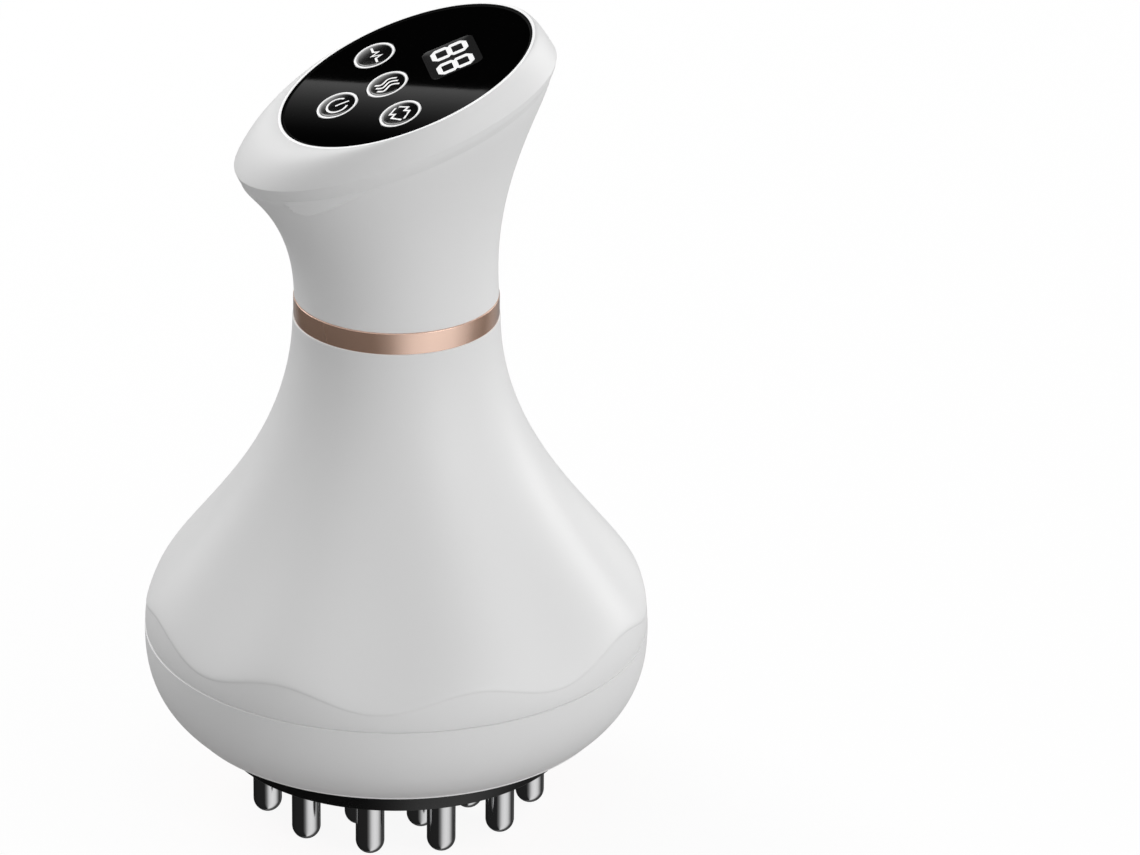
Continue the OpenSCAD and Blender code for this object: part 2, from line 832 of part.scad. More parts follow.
module probe_nuts() {
    color("silver") stud_places() translate([0, 0, z_nut]) difference() {
        cylinder(r = 2.75, h = nut_t, $fn = 6);
        translate([0, 0, -1]) cylinder(r = stud_r + snug, h = nut_t + 2, $fn = 32);
    }
}

module probe_plate() {
    color([0.2, 0.2, 0.22]) difference() {
        translate([0, 0, z_plate]) cylinder(r = plate_r, h = plate_t, $fn = 96);
        probe_holes(z_plate - 1, plate_t + 2);
        led_places() translate([0, 0, z_plate - 1])
            cylinder(r = led_r + fit, h = plate_t + 2, $fn = 32);
    }
}

module led_board() {
    color("darkgreen") difference() {
        translate([0, 0, z_led_board]) cylinder(r = plate_r - 0.6, h = board_t, $fn = 96);
        probe_holes(z_led_board - 1, board_t + 2);
    }
}

module red_leds() {
    color("red") led_places() {
        translate([0, 0, z_plate + 0.5]) sphere(r = led_r, $fn = 32);
        translate([0, 0, z_plate + 0.5])
            cylinder(r = led_r, h = plate_t - 0.5, $fn = 32);
    }
}

module heater_plate() {
    color("lightgrey") difference() {
        translate([0, 0, z_heater]) cylinder(r = heater_r, h = heater_t, $fn = 96);
        stud_places() translate([0, 0, z_heater - 1])
            cylinder(r = stud_r + snug, h = heater_t + 2, $fn = 32);
        around(heater_screw_n) translate([heater_screw_pr, 0, z_heater - 1])
            cylinder(r = m16_r + snug, h = heater_t + 2, $fn = 24);
    }
}

module heater_screws() {
    color("silver") around(heater_screw_n)
        translate([heater_screw_pr, 0, z_nut]) mirror([0, 0, 1])
            screw(m16_r, heater_t + shelf_t - 0.6, m16_head, m16_head_t);
}

module rim_screws() {
    color("silver") around(rim_screw_n)
        translate([rim_screw_pr, 0, z_flange + flange_t]) mirror([0, 0, 1])
            screw(m2_r, flange_t + gasket_t + 2.4, m2_head, m2_head_t);
}

module shell_screws() {
    color("silver") around(4, 45) translate([boss_pr, 0, z_arm])
        screw(m26_r, 2 * arm_t + boss_depth - 0.6, m26_head, m26_head_t);
}

// Frame, motor and cell

module inner_frame() {
    color("dimgray") difference() {
        union() {
            translate([0, 0, z_ear]) linear_extrude(arm_t) {
                circle(r = spider_r);
                around(4, 45) {
                    translate([0, -arm_w / 2]) square([boss_pr, arm_w]);
                    translate([boss_pr, 0]) circle(r = arm_w / 2);
                }
            }
            around(4, 45) translate([tube_r - 1, rib_t / 2, z_ear + arm_t - 0.1])
                rotate([90, 0, 0]) linear_extrude(rib_t)
                    polygon([[0, 0], [boss_pr - tube_r - 4, 0], [0, rib_up]]);
            translate([0, 0, z_ear]) cylinder(r = tube_r, h = z_tube - z_ear);
            // Flat pads that carry the two upright boards
            rotate([0, 0, side_turn]) for (z = [side_board_z + 2, side_board_z + side_board_h - 8])
                translate([tube_r - 2, -5, z]) cube([pad_t + 2, 10, 6]);
            translate([-5, tube_r - 2, port_z - charge_board_h / 2])
                cube([10, pad_t + 2, charge_board_h - 6]);
        }
        translate([0, 0, z_ear - 1]) cylinder(r = bore_r, h = z_divide - z_ear + 1);
        translate([0, 0, z_divide + divide_t]) cylinder(r = bore_r, h = z_tube);
        around(4, 45) translate([boss_pr, 0, z_ear - 1])
            cylinder(r = m26_r + 0.35, h = arm_t + 2, $fn = 32);
        around(3, cap_turn) translate([cap_screw_pr, 0, z_ear - 1])
            cylinder(r = m2_r + snug, h = arm_t + 2, $fn = 24);
        rotate([0, 0, side_turn]) translate([loom_pr, 0, z_ear - 1])
            cylinder(r = loom_r + loose, h = arm_t + 2, $fn = 32);
    }
}

module motor_body() {
    color("silver") difference() {
        union() {
            translate([0, 0, z_motor]) cylinder(r = motor_d / 2, h = motor_len);
            translate([0, 0, z_motor - nose_t]) cylinder(r = nose_r, h = nose_t + past);
        }
        translate([0, 0, z_motor - nose_t - 1])
            cylinder(r = shaft_r + snug, h = motor_len + nose_t - 1, $fn = 32);
    }
}

module motor_shaft() {
    z0 = z_weight - hub_over;
    color("lightgrey") translate([0, 0, z0])
        cylinder(r = shaft_r, h = z_motor + motor_len - 2.6 - z0, $fn = 32);
}

module motor_weight() {
    color([0.75, 0.6, 0.3]) difference() {
        union() {
            translate([0, 0, z_weight]) intersection() {
                cylinder(r = weight_r, h = weight_t);
                translate([-weight_r, -weight_r, 0]) cube([2 * weight_r, weight_r, weight_t]);
            }
            translate([0, 0, z_weight - hub_over])
                cylinder(r = hub_r, h = weight_t + 2 * hub_over, $fn = 32);
        }
        translate([0, 0, z_weight - 2])
            cylinder(r = shaft_r + 0.01, h = weight_t + 4, $fn = 32);
    }
}

module motor_cap() {
    color([0.15, 0.15, 0.15]) difference() {
        translate([0, 0, z_cap]) cylinder(r = cap_r, h = cap_plate_t);
        translate([0, 0, z_cap - 1]) cylinder(r = nose_r + fit, h = cap_plate_t + 2);
        around(3, cap_turn) translate([cap_screw_pr, 0, z_cap - 1])
            cylinder(r = m2_r + 0.15, h = cap_plate_t + 2, $fn = 24);
        rotate([0, 0, side_turn]) translate([loom_pr, 0, z_cap - 1])
            cylinder(r = loom_r + loose, h = cap_plate_t + 2, $fn = 32);
    }
}

module cap_screws() {
    color("silver") around(3, cap_turn) translate([cap_screw_pr, 0, z_cap])
        screw(m2_r, cap_plate_t + arm_t - 0.3, m2_head, m2_head_t);
}

module battery_cell() {
    color("steelblue") translate([0, 0, z_cell]) {
        cylinder(r = cell_r, h = cell_len - 1.2);
        cylinder(r = 3.4, h = cell_len);
    }
}

module battery_sleeve() {
    color([0.3, 0.3, 0.3]) translate([0, 0, z_cell])
        tube(cell_r + snug, bore_r - snug, z_tube - z_cell);
}

module battery_cap() {
    color([0.15, 0.15, 0.15]) difference() {
        translate([0, 0, z_tube])
            cylinder(r = tube_r, h = cell_show + loose + cap_t);
        translate([0, 0, z_tube - 1]) cylinder(r = cell_r + 0.4, h = cell_show + loose + 1);
    }
}

// Boards, leads and charging socket

module power_board() {
    color("darkgreen") rotate([0, 0, side_turn])
        translate([tube_r + pad_t, -side_board_w / 2, side_board_z])
            cube([side_board_t, side_board_w, side_board_h]);
}

module power_board_parts() {
    x = tube_r + pad_t + side_board_t;
    w = side_board_w;
    h = side_board_h;
    color([0.15, 0.15, 0.15]) rotate([0, 0, side_turn]) translate([x, 0, side_board_z]) {
        translate([0, -w * 0.39, h * 0.5]) cube([chip_t, w * 0.39, h * 0.25]);
        translate([0, w * 0.11, h * 0.64]) cube([chip_t, w * 0.28, h * 0.14]);
        translate([0, -w * 0.39, h * 0.11]) cube([coil_t, w * 0.33, h * 0.21]);
        translate([0, w * 0.06, h * 0.07]) cube([plug_t, w * 0.39, h * 0.14]);
        translate([can_r, w * 0.25, h * 0.28]) cylinder(r = can_r, h = h * 0.29, $fn = 32);
        translate([0, -w * 0.22, h * 0.86]) cube([plug_t, w * 0.44, h * 0.14]);
    }
}

module charge_board() {
    color("darkgreen")
        translate([-charge_board_w / 2, tube_r + pad_t, port_z - charge_board_h / 2])
            cube([charge_board_w, charge_board_t, charge_board_h]);
}

module charge_socket() {
    y0 = tube_r + pad_t + charge_board_t;
    color("silver") translate([0, y0 + port_len / 2, port_z]) {
        difference() {
            stadium(port_w, port_h, port_len);
            translate([0, 1.2, 0])
                stadium(port_w - 2 * port_wall, port_h - 2 * port_wall, port_len);
        }
        translate([0, -0.4, 0]) cube([port_tongue_w, port_len - 1, port_tongue_t], center = true);
    }
}

module wire_loom() {
    // Height of the key board's underside over the lead
    y = loom_pr * sin(side_turn) - panel_back;
    up = z_panel + (y * sin(head_tilt) + w_board - board_t) / cos(head_tilt);
    top = side_board_z + side_board_h;
    slack = 1.1;
    color([0.7, 0.1, 0.1]) rotate([0, 0, side_turn]) translate([loom_pr, 0, 0]) {
        translate([0, 0, top]) cylinder(r = loom_r, h = up - slack - top, $fn = 24);
        translate([0, 0, z_nut + loose])
            cylinder(r = loom_r, h = side_board_z - z_nut - loose, $fn = 24);
    }
}

base_cup();
bell_shell();
trim_ring();
neck_coupler();
handle_shell();
head_bezel();
panel_lens();
key_rings();
power_button();
pulse_button();
heat_button();
mode_button();
display_module();
panel_board();
tact_switches();
board_screws();
base_rim();
rim_gasket();
light_ring();
probe_plate();
outer_probes();
middle_probes();
centre_probe();
probe_nuts();
red_leds();
led_board();
heater_plate();
heater_screws();
rim_screws();
shell_screws();
inner_frame();
motor_body();
motor_shaft();
motor_weight();
motor_cap();
cap_screws();
battery_cell();
battery_sleeve();
battery_cap();
power_board();
power_board_parts();
charge_board();
charge_socket();
wire_loom();
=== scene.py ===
"""Dresses the cordless body massager: smooth shells, panel, keys, probes, light ring, finishes,
the studio round it and the camera. Lengths are millimetres until a mesh is made."""
import logging
import math
from dataclasses import dataclass, field
from enum import Enum

import bpy
import numpy as np
from mathutils import Matrix, Vector


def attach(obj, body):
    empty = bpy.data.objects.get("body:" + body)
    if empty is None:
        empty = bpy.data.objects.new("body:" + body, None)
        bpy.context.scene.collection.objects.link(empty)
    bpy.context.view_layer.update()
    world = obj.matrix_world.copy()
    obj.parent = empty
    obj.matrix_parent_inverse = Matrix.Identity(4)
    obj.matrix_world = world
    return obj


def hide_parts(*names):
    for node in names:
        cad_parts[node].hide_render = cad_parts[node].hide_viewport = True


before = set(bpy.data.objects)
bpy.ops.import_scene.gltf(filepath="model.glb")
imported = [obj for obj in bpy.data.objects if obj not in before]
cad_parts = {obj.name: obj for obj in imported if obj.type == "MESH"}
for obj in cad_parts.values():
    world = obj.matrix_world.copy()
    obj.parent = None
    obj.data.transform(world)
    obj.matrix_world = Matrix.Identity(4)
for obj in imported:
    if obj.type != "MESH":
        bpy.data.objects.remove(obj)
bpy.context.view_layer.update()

Array = np.ndarray
MM = 0.001
log = logging.getLogger("massager")


# Sizes

@dataclass(frozen=True)
class Plan:
    """The massager's sizes in millimetres and degrees, as its construction has them.

    Attributes:
        body_r: radius of the body at the seam.
        neck_r: radius of the neck.
        shell_t: wall of the shells.
        z_plate: height of the probe plate's face.
        z_rim: height of the rim's lower edge.
        z_cup: height of the lower shell's underside.
        z_floor: height of the upper face of its floor.
        z_seam: height of the seam between the shells.
        z_neck: height of the bell's top, where the trim ring starts.
        z_handle: height of the trim ring's top, where the handle starts.
        z_panel: height of the middle of the panel's plane.
        wave_n: how many waves the crease has.
        wave_rise: how far it swings up and down.
        wave_z: its mean height over the seam.
        base_turn: how far round from X the first wave's top stands.
        rim_r: outer radius of the rim.
        panel_back: how far behind the body's axis the panel's middle lies.
        head_tilt: slant of the panel.
        lip_rx: half width of the lip.
        lip_rv: half length of the lip.
        lip_front: how far in front of the panel's middle the lip's middle lies.
        lip_drop: how far under the panel's plane it lies.
        lip_lean: how much less than the panel the lip slants.
        lip_band: height of the band under the lip.
        band_in: how far inside the lip the band's foot lies.
        band_front: how far in front of the lip's middle the middle of that foot lies.
        lens_r: radius of the panel's lens.
        lens_t: thickness of the lens.
        w_lens: height of its face over the panel's plane.
        panel_edge: width of the frame's flat edge round the lens.
        probe_r: radius of an outer or middle probe.
        centre_r: radius of the centre probe.
        centre_low: height of the centre probe's tip.
        outer_pr: radius of the circle that the outer probes stand on.
        middle_pr: the same for the middle probes.
        key_rx: half width of a key's hole in the lens.
        key_rv: half length of that hole.
        key_ring_t: wall of the light guide in the hole.
    """

    body_r: float = 50.0
    neck_r: float = 20.3
    shell_t: float = 2.4
    z_plate: float = 14.4
    z_rim: float = 13.4
    z_cup: float = 18.8
    z_floor: float = 22.0
    z_seam: float = 38.2
    z_neck: float = 104.6
    z_handle: float = 108.9
    z_panel: float = 154.4
    wave_n: int = 8
    wave_rise: float = 1.8
    wave_z: float = 5.2
    base_turn: float = 8.5
    rim_r: float = 36.0
    panel_back: float = 1.9
    head_tilt: float = 21.0
    lip_rx: float = 27.0
    lip_rv: float = 33.0
    lip_front: float = 4.6
    lip_drop: float = 5.9
    lip_lean: float = 1.6
    lip_band: float = 2.5
    band_in: float = 1.1
    band_front: float = 0.8
    lens_r: float = 25.6
    lens_t: float = 2.0
    w_lens: float = -0.25
    panel_edge: float = 0.7
    probe_r: float = 2.85
    centre_r: float = 4.5
    centre_low: float = 1.5
    outer_pr: float = 27.2
    middle_pr: float = 16.2
    key_rx: float = 5.2
    key_rv: float = 4.35
    key_ring_t: float = 0.55


PLAN = Plan()


class Body(Enum):
    """The bodies that a piece rides on."""

    HOUSING = "housing"
    POWER = "power_key"
    PULSE = "pulse_key"
    HEAT = "heat_key"
    MODE = "mode_key"


class Icon(Enum):
    """The printed sign on a key."""

    POWER = "power"
    PULSE = "pulse"
    WAVES = "waves"
    LOOP = "loop"


# Surfaces

@dataclass(frozen=True)
class Patch:
    """A closed surface given as rows of points.

    Attributes:
        points: rows x columns x 3 points; each row runs round the piece.
        loop: the last row joins the first, as for a ring; otherwise both ends close in a fan.
        poles: the fan's middle points at the first and last row, or None for the row's mean.
        dropped: rows x columns, true where a cell is left out for an opening.
        walls: quads that line the opening, as point numbers counted row by row.
    """

    points: Array
    loop: bool = False
    poles: tuple[Array | None, Array | None] = (None, None)
    dropped: Array | None = None
    walls: Array | None = None

    def mesh(self) -> tuple[Array, Array, Array]:
        """Vertices, quads and triangles, all facing outwards.

        Returns:
            The vertices, the quads' corners and the fan triangles' corners. The sign of the
            volume, the sum of every corner triple's determinant, says which way round they go.
        """
        rows, cols = self.points.shape[:2]
        verts = self.points.reshape(-1, 3)
        last = rows if self.loop else rows - 1
        a, b = np.meshgrid(np.arange(last), np.arange(cols), indexing="ij")
        over, on = (a + 1) % rows, (b + 1) % cols
        quads = np.stack([a * cols + b, a * cols + on, over * cols + on, over * cols + b], -1)
        if self.dropped is not None:
            quads = np.vstack([quads[~self.dropped[:last]], self.walls])
        quads = quads.reshape(-1, 4)
        fans = np.zeros((0, 3), int)
        if not self.loop:
            ring = np.arange(cols)
            tips = [self.points[k].mean(0) if p is None else p
                    for k, p in zip((0, -1), self.poles)]
            low, high = len(verts), len(verts) + 1
            verts = np.vstack([verts, tips])
            top = (rows - 1) * cols
            fans = np.vstack([
                np.stack([np.full(cols, low), (ring + 1) % cols, ring], -1),
                np.stack([np.full(cols, high), top + ring, top + (ring + 1) % cols], -1),
            ])
        tris = np.vstack([quads[:, [0, 1, 2]], quads[:, [0, 2, 3]], fans])
        p = verts[tris]
        if np.einsum("ij,ij->", p[:, 0], np.cross(p[:, 1], p[:, 2])) < 0:
            quads, fans = quads[:, ::-1], fans[:, ::-1]
        return verts, quads, fans


def turns(count: int) -> Array:
    """Evenly spaced directions round a full turn, in radians."""
    return np.linspace(0, 2 * np.pi, count, endpoint=False)


def bezier(p: Array, t: Array) -> Array:
    """Points of a cubic curve.

    Args:
        p: four control points; their shape runs on after the first axis.
        t: places from 0 to 1.

    Returns:
        The points: the control points weighed by (1-t)^3, 3t(1-t)^2, 3t^2(1-t) and t^3.
    """
    weights = np.stack([(1 - t) ** 3, 3 * t * (1 - t) ** 2, 3 * t * t * (1 - t), t ** 3], -1)
    return np.tensordot(weights, p, axes=1)


def eased(rows: Array, cut: Array | float, steps: int = 4, loop: bool = True) -> Array:
    """Rounds the corners of a profile, or of a stack of rings.

    Args:
        rows: the corners, along the first axis.
        cut: how far from each corner its curve starts and ends; 0 keeps the corner.
        steps: points on each curve.
        loop: the last corner's neighbour is the first one.

    Returns:
        The rows with each rounded corner p swapped for the quadratic curve
        (1-t)^2 a + 2t(1-t) p + t^2 b between the cut points a and b on its two sides, neither
        farther from p than 0.48 of the shorter side.
    """
    p = np.asarray(rows, float)
    cut = np.broadcast_to(np.asarray(cut, float), p.shape[:1]).copy()
    if not loop:
        cut[[0, -1]] = 0
    shape = (-1,) + (1,) * (p.ndim - 1)
    sides = [np.roll(p, s, 0) - p for s in (1, -1)]
    lengths = [np.maximum(np.linalg.norm(s, axis=-1, keepdims=True), 1e-9) for s in sides]
    reach = np.minimum(cut.reshape(shape), 0.48 * np.minimum(*lengths))
    a, b = (p + s / n * reach for s, n in zip(sides, lengths))
    t = np.linspace(0, 1, steps).reshape((1, -1) + (1,) * (p.ndim - 1))
    curve = (1 - t) ** 2 * a[:, None] + 2 * t * (1 - t) * p[:, None] + t * t * b[:, None]
    keep = np.ones((len(p), steps), bool)
    keep[cut <= 0, 1:] = False
    return curve[keep]


def lathe(profile: Array, count: int) -> Array:
    """Rings of a turned shape.

    Args:
        profile: rows of [radius, height].
        count: points round the axis.

    Returns:
        One ring for each row, swept round the axis.
    """
    a = turns(count)
    r, z = np.asarray(profile, float).T[..., None]
    return np.stack([r * np.cos(a), r * np.sin(a), z + 0 * a], -1)


def ovals(table: Array, count: int) -> Array:
    """Rings of an oval shape.

    Args:
        table: rows of [half width, half length, height].
        count: points round the axis.

    Returns:
        One ellipse for each row.
    """
    a = turns(count)
    rx, rv, w = np.asarray(table, float).T[..., None]
    return np.stack([rx * np.cos(a), rv * np.sin(a), w + 0 * a], -1)


def placed(rings: Array, places: Array) -> list[Array]:
    """Copies of a stack of rings, each moved by one of the places."""
    return [rings + np.asarray(p, float) for p in places]


def circle_places(count: int, radius: float, turn: float) -> Array:
    """Evenly spaced places on a circle about the axis, the first at the given turn."""
    a = turns(count) + math.radians(turn)
    return np.stack([radius * np.cos(a), radius * np.sin(a), 0 * a], -1)


def strip(line: Array, width: float, low: Array | float, high: Array | float) -> Patch:
    """A raised stroke that follows a flat line.

    Args:
        line: the stroke's middle as [x, v] points.
        width: the stroke's width.
        low: height of its underside, one number or one for each point.
        high: height of its top.

    Returns:
        A closed patch. Each point's cross direction is square to the mean of its two sides, and
        is lengthened by 1 / cos(half the bend), up to 1.6 times, so that corners stay full. The
        top's edges have a small bevel.
    """
    line = np.asarray(line, float)
    side = np.diff(line, axis=0)
    side /= np.linalg.norm(side, axis=1, keepdims=True)
    a, b = np.vstack([side[:1], side]), np.vstack([side, side[-1:]])
    along = a + b
    along /= np.linalg.norm(along, axis=1, keepdims=True)
    full = np.minimum(1 / np.maximum(np.einsum("ij,ij->i", along, a), 0.1), 1.6)[:, None]
    cross = np.stack([-along[:, 1], along[:, 0]], -1) * full * width / 2
    low, high = (np.broadcast_to(h, len(line))[:, None] for h in (low, high))
    face, edge, drop = 0.8, 0.94, 0.01
    corners = [(1.0, low), (edge, high - drop), (face, high), (-face, high),
               (-edge, high - drop), (-1.0, low)]
    return Patch(np.stack([np.hstack([line + s * cross, h]) for s, h in corners], 1))


# Finishes

class Nodes:
    """A short way to add and join the nodes of one tree."""

    def __init__(self, tree: bpy.types.NodeTree) -> None:
        """Keeps the tree and empties it."""
        self.tree = tree
        tree.nodes.clear()

    def add(self, kind: str, inputs: dict | None = None, **values: object) -> bpy.types.Node:
        """Adds a node.

        Args:
            kind: the node's type name.
            inputs: socket name or number to a value, or to a socket that feeds it.
            values: the node's own settings.

        Returns:
            The new node.
        """
        node = self.tree.nodes.new(kind)
        for key, value in values.items():
            setattr(node, key, value)
        for key, value in (inputs or {}).items():
            if isinstance(value, bpy.types.NodeSocket):
                self.tree.links.new(value, node.inputs[key])
            else:
                node.inputs[key].default_value = value
        return node

    def math(self, step: str, a: object, b: object = 0.0, clamp: bool = False) -> object:
        """The output of a Math node that works on two numbers or sockets."""
        return self.add("ShaderNodeMath", {0: a, 1: b}, operation=step, use_clamp=clamp).outputs[0]

    def noise(self, at: object, scale: object, detail: float, **more: float) -> object:
        """The output of a Noise Texture node; more holds its other inputs by name."""
        return self.add("ShaderNodeTexNoise",
                        {"Vector": at, "Scale": scale, "Detail": detail, **more}).outputs[0]

    def scaled(self, colour: object, factor: object) -> object:
        """A colour times a number."""
        return self.add("ShaderNodeVectorMath", {0: colour, "Scale": factor},
                        operation="SCALE").outputs[0]

    def along(self, way: object, axis: Array) -> object:
        """How far a direction runs along an axis."""
        return self.add("ShaderNodeVectorMath", {0: way, 1: tuple(axis)},
                        operation="DOT_PRODUCT").outputs["Value"]

    def between(self, value: object, start: float, end: float, top: float = 1.0,
                smooth: bool = False) -> object:
        """Runs from 0 at the start to the top at the end, and stays there beyond both."""
        return self.add("ShaderNodeMapRange", {0: value, 1: start, 2: end, 4: top},
                        interpolation_type="SMOOTHSTEP" if smooth else "LINEAR").outputs[0]

    def mix(self, share: object, first: bpy.types.Node, second: bpy.types.Node) -> bpy.types.Node:
        """A mix of two shaders, which is the second one where the share is 1."""
        return self.add("ShaderNodeMixShader",
                        {0: share, 1: first.outputs[0], 2: second.outputs[0]})

    def feed(self, node: bpy.types.Node, **sockets: object) -> None:
        """Joins sockets to a node's inputs of the same names."""
        for key, socket in sockets.items():
            self.tree.links.new(socket, node.inputs[key])


def new_group(name: str, ins: dict[str, tuple[str, object]], outs: dict[str, str]) -> tuple:
    """An empty node group with its sockets.

    Args:
        name: the group's name.
        ins: input name to its kind and first value.
        outs: output name to its kind.

    Returns:
        The group, its node helper, its input node's outputs and its output node.
    """
    tree = bpy.data.node_groups.new(name, "ShaderNodeTree")
    for key, (kind, value) in ins.items():
        socket = tree.interface.new_socket(key, in_out="INPUT", socket_type="NodeSocket" + kind)
        socket.default_value = value
    for key, kind in outs.items():
        tree.interface.new_socket(key, in_out="OUTPUT", socket_type="NodeSocket" + kind)
    nodes = Nodes(tree)
    entry = nodes.add("NodeGroupInput")
    return tree, nodes, entry.outputs, nodes.add("NodeGroupOutput")


GREY = (0.5, 0.5, 0.5, 1.0)
WHITE = (1.0, 1.0, 1.0, 1.0)


def moulded_skin() -> bpy.types.NodeTree:
    """Group for moulded and painted faces: slow tone drift, hand smudges and fine grain.

    Returns:
        The group. Tone drift scales the base colour by 1 + Tone * (slow noise - 0.5). Smudges add
        Smudge * (noise - 0.5) to the roughness. Grain puts out a fine noise as height.
    """
    tree, n, i, out = new_group(
        "Moulded skin",
        {"Base": ("Color", GREY), "Tone": ("Float", 0.04), "Rough": ("Float", 0.4),
         "Smudge": ("Float", 0.08), "Grain": ("Float", 2500.0)},
        {"Color": "Color", "Roughness": "Float", "Height": "Float"})
    at = n.add("ShaderNodeTexCoord").outputs["Object"]
    slow = n.noise(at, 22.0, 2.0)
    patchy = n.noise(at, 75.0, 4.0, Roughness=0.6, Distortion=0.4)
    fine = n.noise(at, i["Grain"], 3.0, Roughness=0.6)
    drift = n.math("MULTIPLY", n.math("SUBTRACT", slow, 0.5), i["Tone"])
    smudge = n.math("MULTIPLY", n.math("SUBTRACT", patchy, 0.5), i["Smudge"])
    n.feed(out, Color=n.scaled(i["Base"], n.math("ADD", drift, 1.0)),
           Roughness=n.math("ADD", smudge, i["Rough"], True), Height=fine)
    return tree


def turned_lines() -> bpy.types.NodeTree:
    """Group for turned and brushed metal: fine lines that run round the axis.

    Returns:
        The group. A noise read at (distance from the axis, height) alone gives lines that circle
        the axis; they shift the colour by Tone and the roughness by Spread, and are the height.
    """
    tree, n, i, out = new_group(
        "Turned lines",
        {"Base": ("Color", GREY), "Tone": ("Float", 0.1), "Rough": ("Float", 0.3),
         "Spread": ("Float", 0.1), "Lines": ("Float", 4000.0)},
        {"Color": "Color", "Roughness": "Float", "Height": "Float"})
    at = n.add("ShaderNodeSeparateXYZ", {0: n.add("ShaderNodeTexCoord").outputs["Object"]})
    flat = n.math("ADD", n.math("POWER", at.outputs[0], 2.0), n.math("POWER", at.outputs[1], 2.0))
    place = n.add("ShaderNodeCombineXYZ", {0: n.math("SQRT", flat), 2: at.outputs[2]}).outputs[0]
    lines = n.noise(place, i["Lines"], 4.0, Roughness=0.7)
    broad = n.noise(place, 300.0, 1.0)
    mixed = n.math("SUBTRACT", n.math("MULTIPLY", n.math("ADD", lines, broad), 0.5), 0.5)
    shift = n.math("ADD", n.math("MULTIPLY", mixed, i["Tone"]), 1.0)
    rough = n.math("ADD", n.math("MULTIPLY", mixed, i["Spread"]), i["Rough"], True)
    n.feed(out, Color=n.scaled(i["Base"], shift), Roughness=rough, Height=lines)
    return tree


class Grain(Enum):
    """Which surface group a finish is built on."""

    MOULDED = "Moulded skin"
    TURNED = "Turned lines"


@dataclass(frozen=True)
class Finish:
    """One finish, built as a Principled material over a surface group.

    Attributes:
        name: the material's name.
        base: base colour, linear.
        rough: mean roughness.
        metallic: 1 for bare metal.
        grain: the surface group.
        tone: how much the colour drifts.
        spread: how much the roughness varies.
        scale: size of the fine grain, larger is finer.
        bump: depth of the grain in millimetres.
        coat: weight of a clear coat.
        coat_rough: roughness of the coat.
        coat_ior: how strongly the coat mirrors.
        specular: the shader's specular level.
        glow: emission strength.
        glow_colour: emission colour.
        sheen: weight of a soft sheen.
        subsurface: weight of light that goes a little way in.
        depth: how far it goes in, in millimetres.
        edge_tint: grey of a metal's reflection at a grazing angle.
    """

    name: str
    base: tuple[float, float, float]
    rough: float = 0.4
    metallic: float = 0.0
    grain: Grain = Grain.MOULDED
    tone: float = 0.04
    spread: float = 0.08
    scale: float = 2500.0
    bump: float = 0.004
    coat: float = 0.0
    coat_rough: float = 0.05
    coat_ior: float = 1.5
    specular: float = 0.5
    glow: float = 0.0
    glow_colour: tuple[float, float, float] = (1.0, 1.0, 1.0)
    sheen: float = 0.0
    subsurface: float = 0.0
    depth: float = 2.0
    edge_tint: float = 1.0

    def build(self) -> bpy.types.Material:
        """Makes the material.

        Returns:
            The material; the group feeds its colour, roughness and bump, and every constant
            stands on the shader's own socket.
        """
        made = bpy.data.materials.new(self.name)
        made.use_nodes = True
        n = Nodes(made.node_tree)
        varied = "Smudge" if self.grain is Grain.MOULDED else "Spread"
        size = "Grain" if self.grain is Grain.MOULDED else "Lines"
        group = n.add("ShaderNodeGroup", node_tree=bpy.data.node_groups[self.grain.value])
        for key, value in (("Base", (*self.base, 1.0)), ("Tone", self.tone), ("Rough", self.rough),
                           (varied, self.spread), (size, self.scale)):
            group.inputs[key].default_value = value
        bump = n.add("ShaderNodeBump", {"Height": group.outputs["Height"], "Strength": 1.0,
                                        "Distance": self.bump * MM})
        shader = n.add("ShaderNodeBsdfPrincipled", {
            "Base Color": group.outputs["Color"], "Roughness": group.outputs["Roughness"],
            "Normal": bump.outputs[0], "Metallic": self.metallic, "Coat Weight": self.coat,
            "Coat Roughness": self.coat_rough, "Coat IOR": self.coat_ior,
            "Specular IOR Level": self.specular, "Specular Tint": (*[self.edge_tint] * 3, 1.0),
            "Emission Strength": self.glow, "Emission Color": (*self.glow_colour, 1.0),
            "Sheen Weight": self.sheen, "Subsurface Weight": self.subsurface,
            "Subsurface Scale": self.depth * MM, "Subsurface Radius": (1.0, 1.0, 1.0)})
        n.add("ShaderNodeOutputMaterial", {"Surface": shader.outputs[0]})
        return made


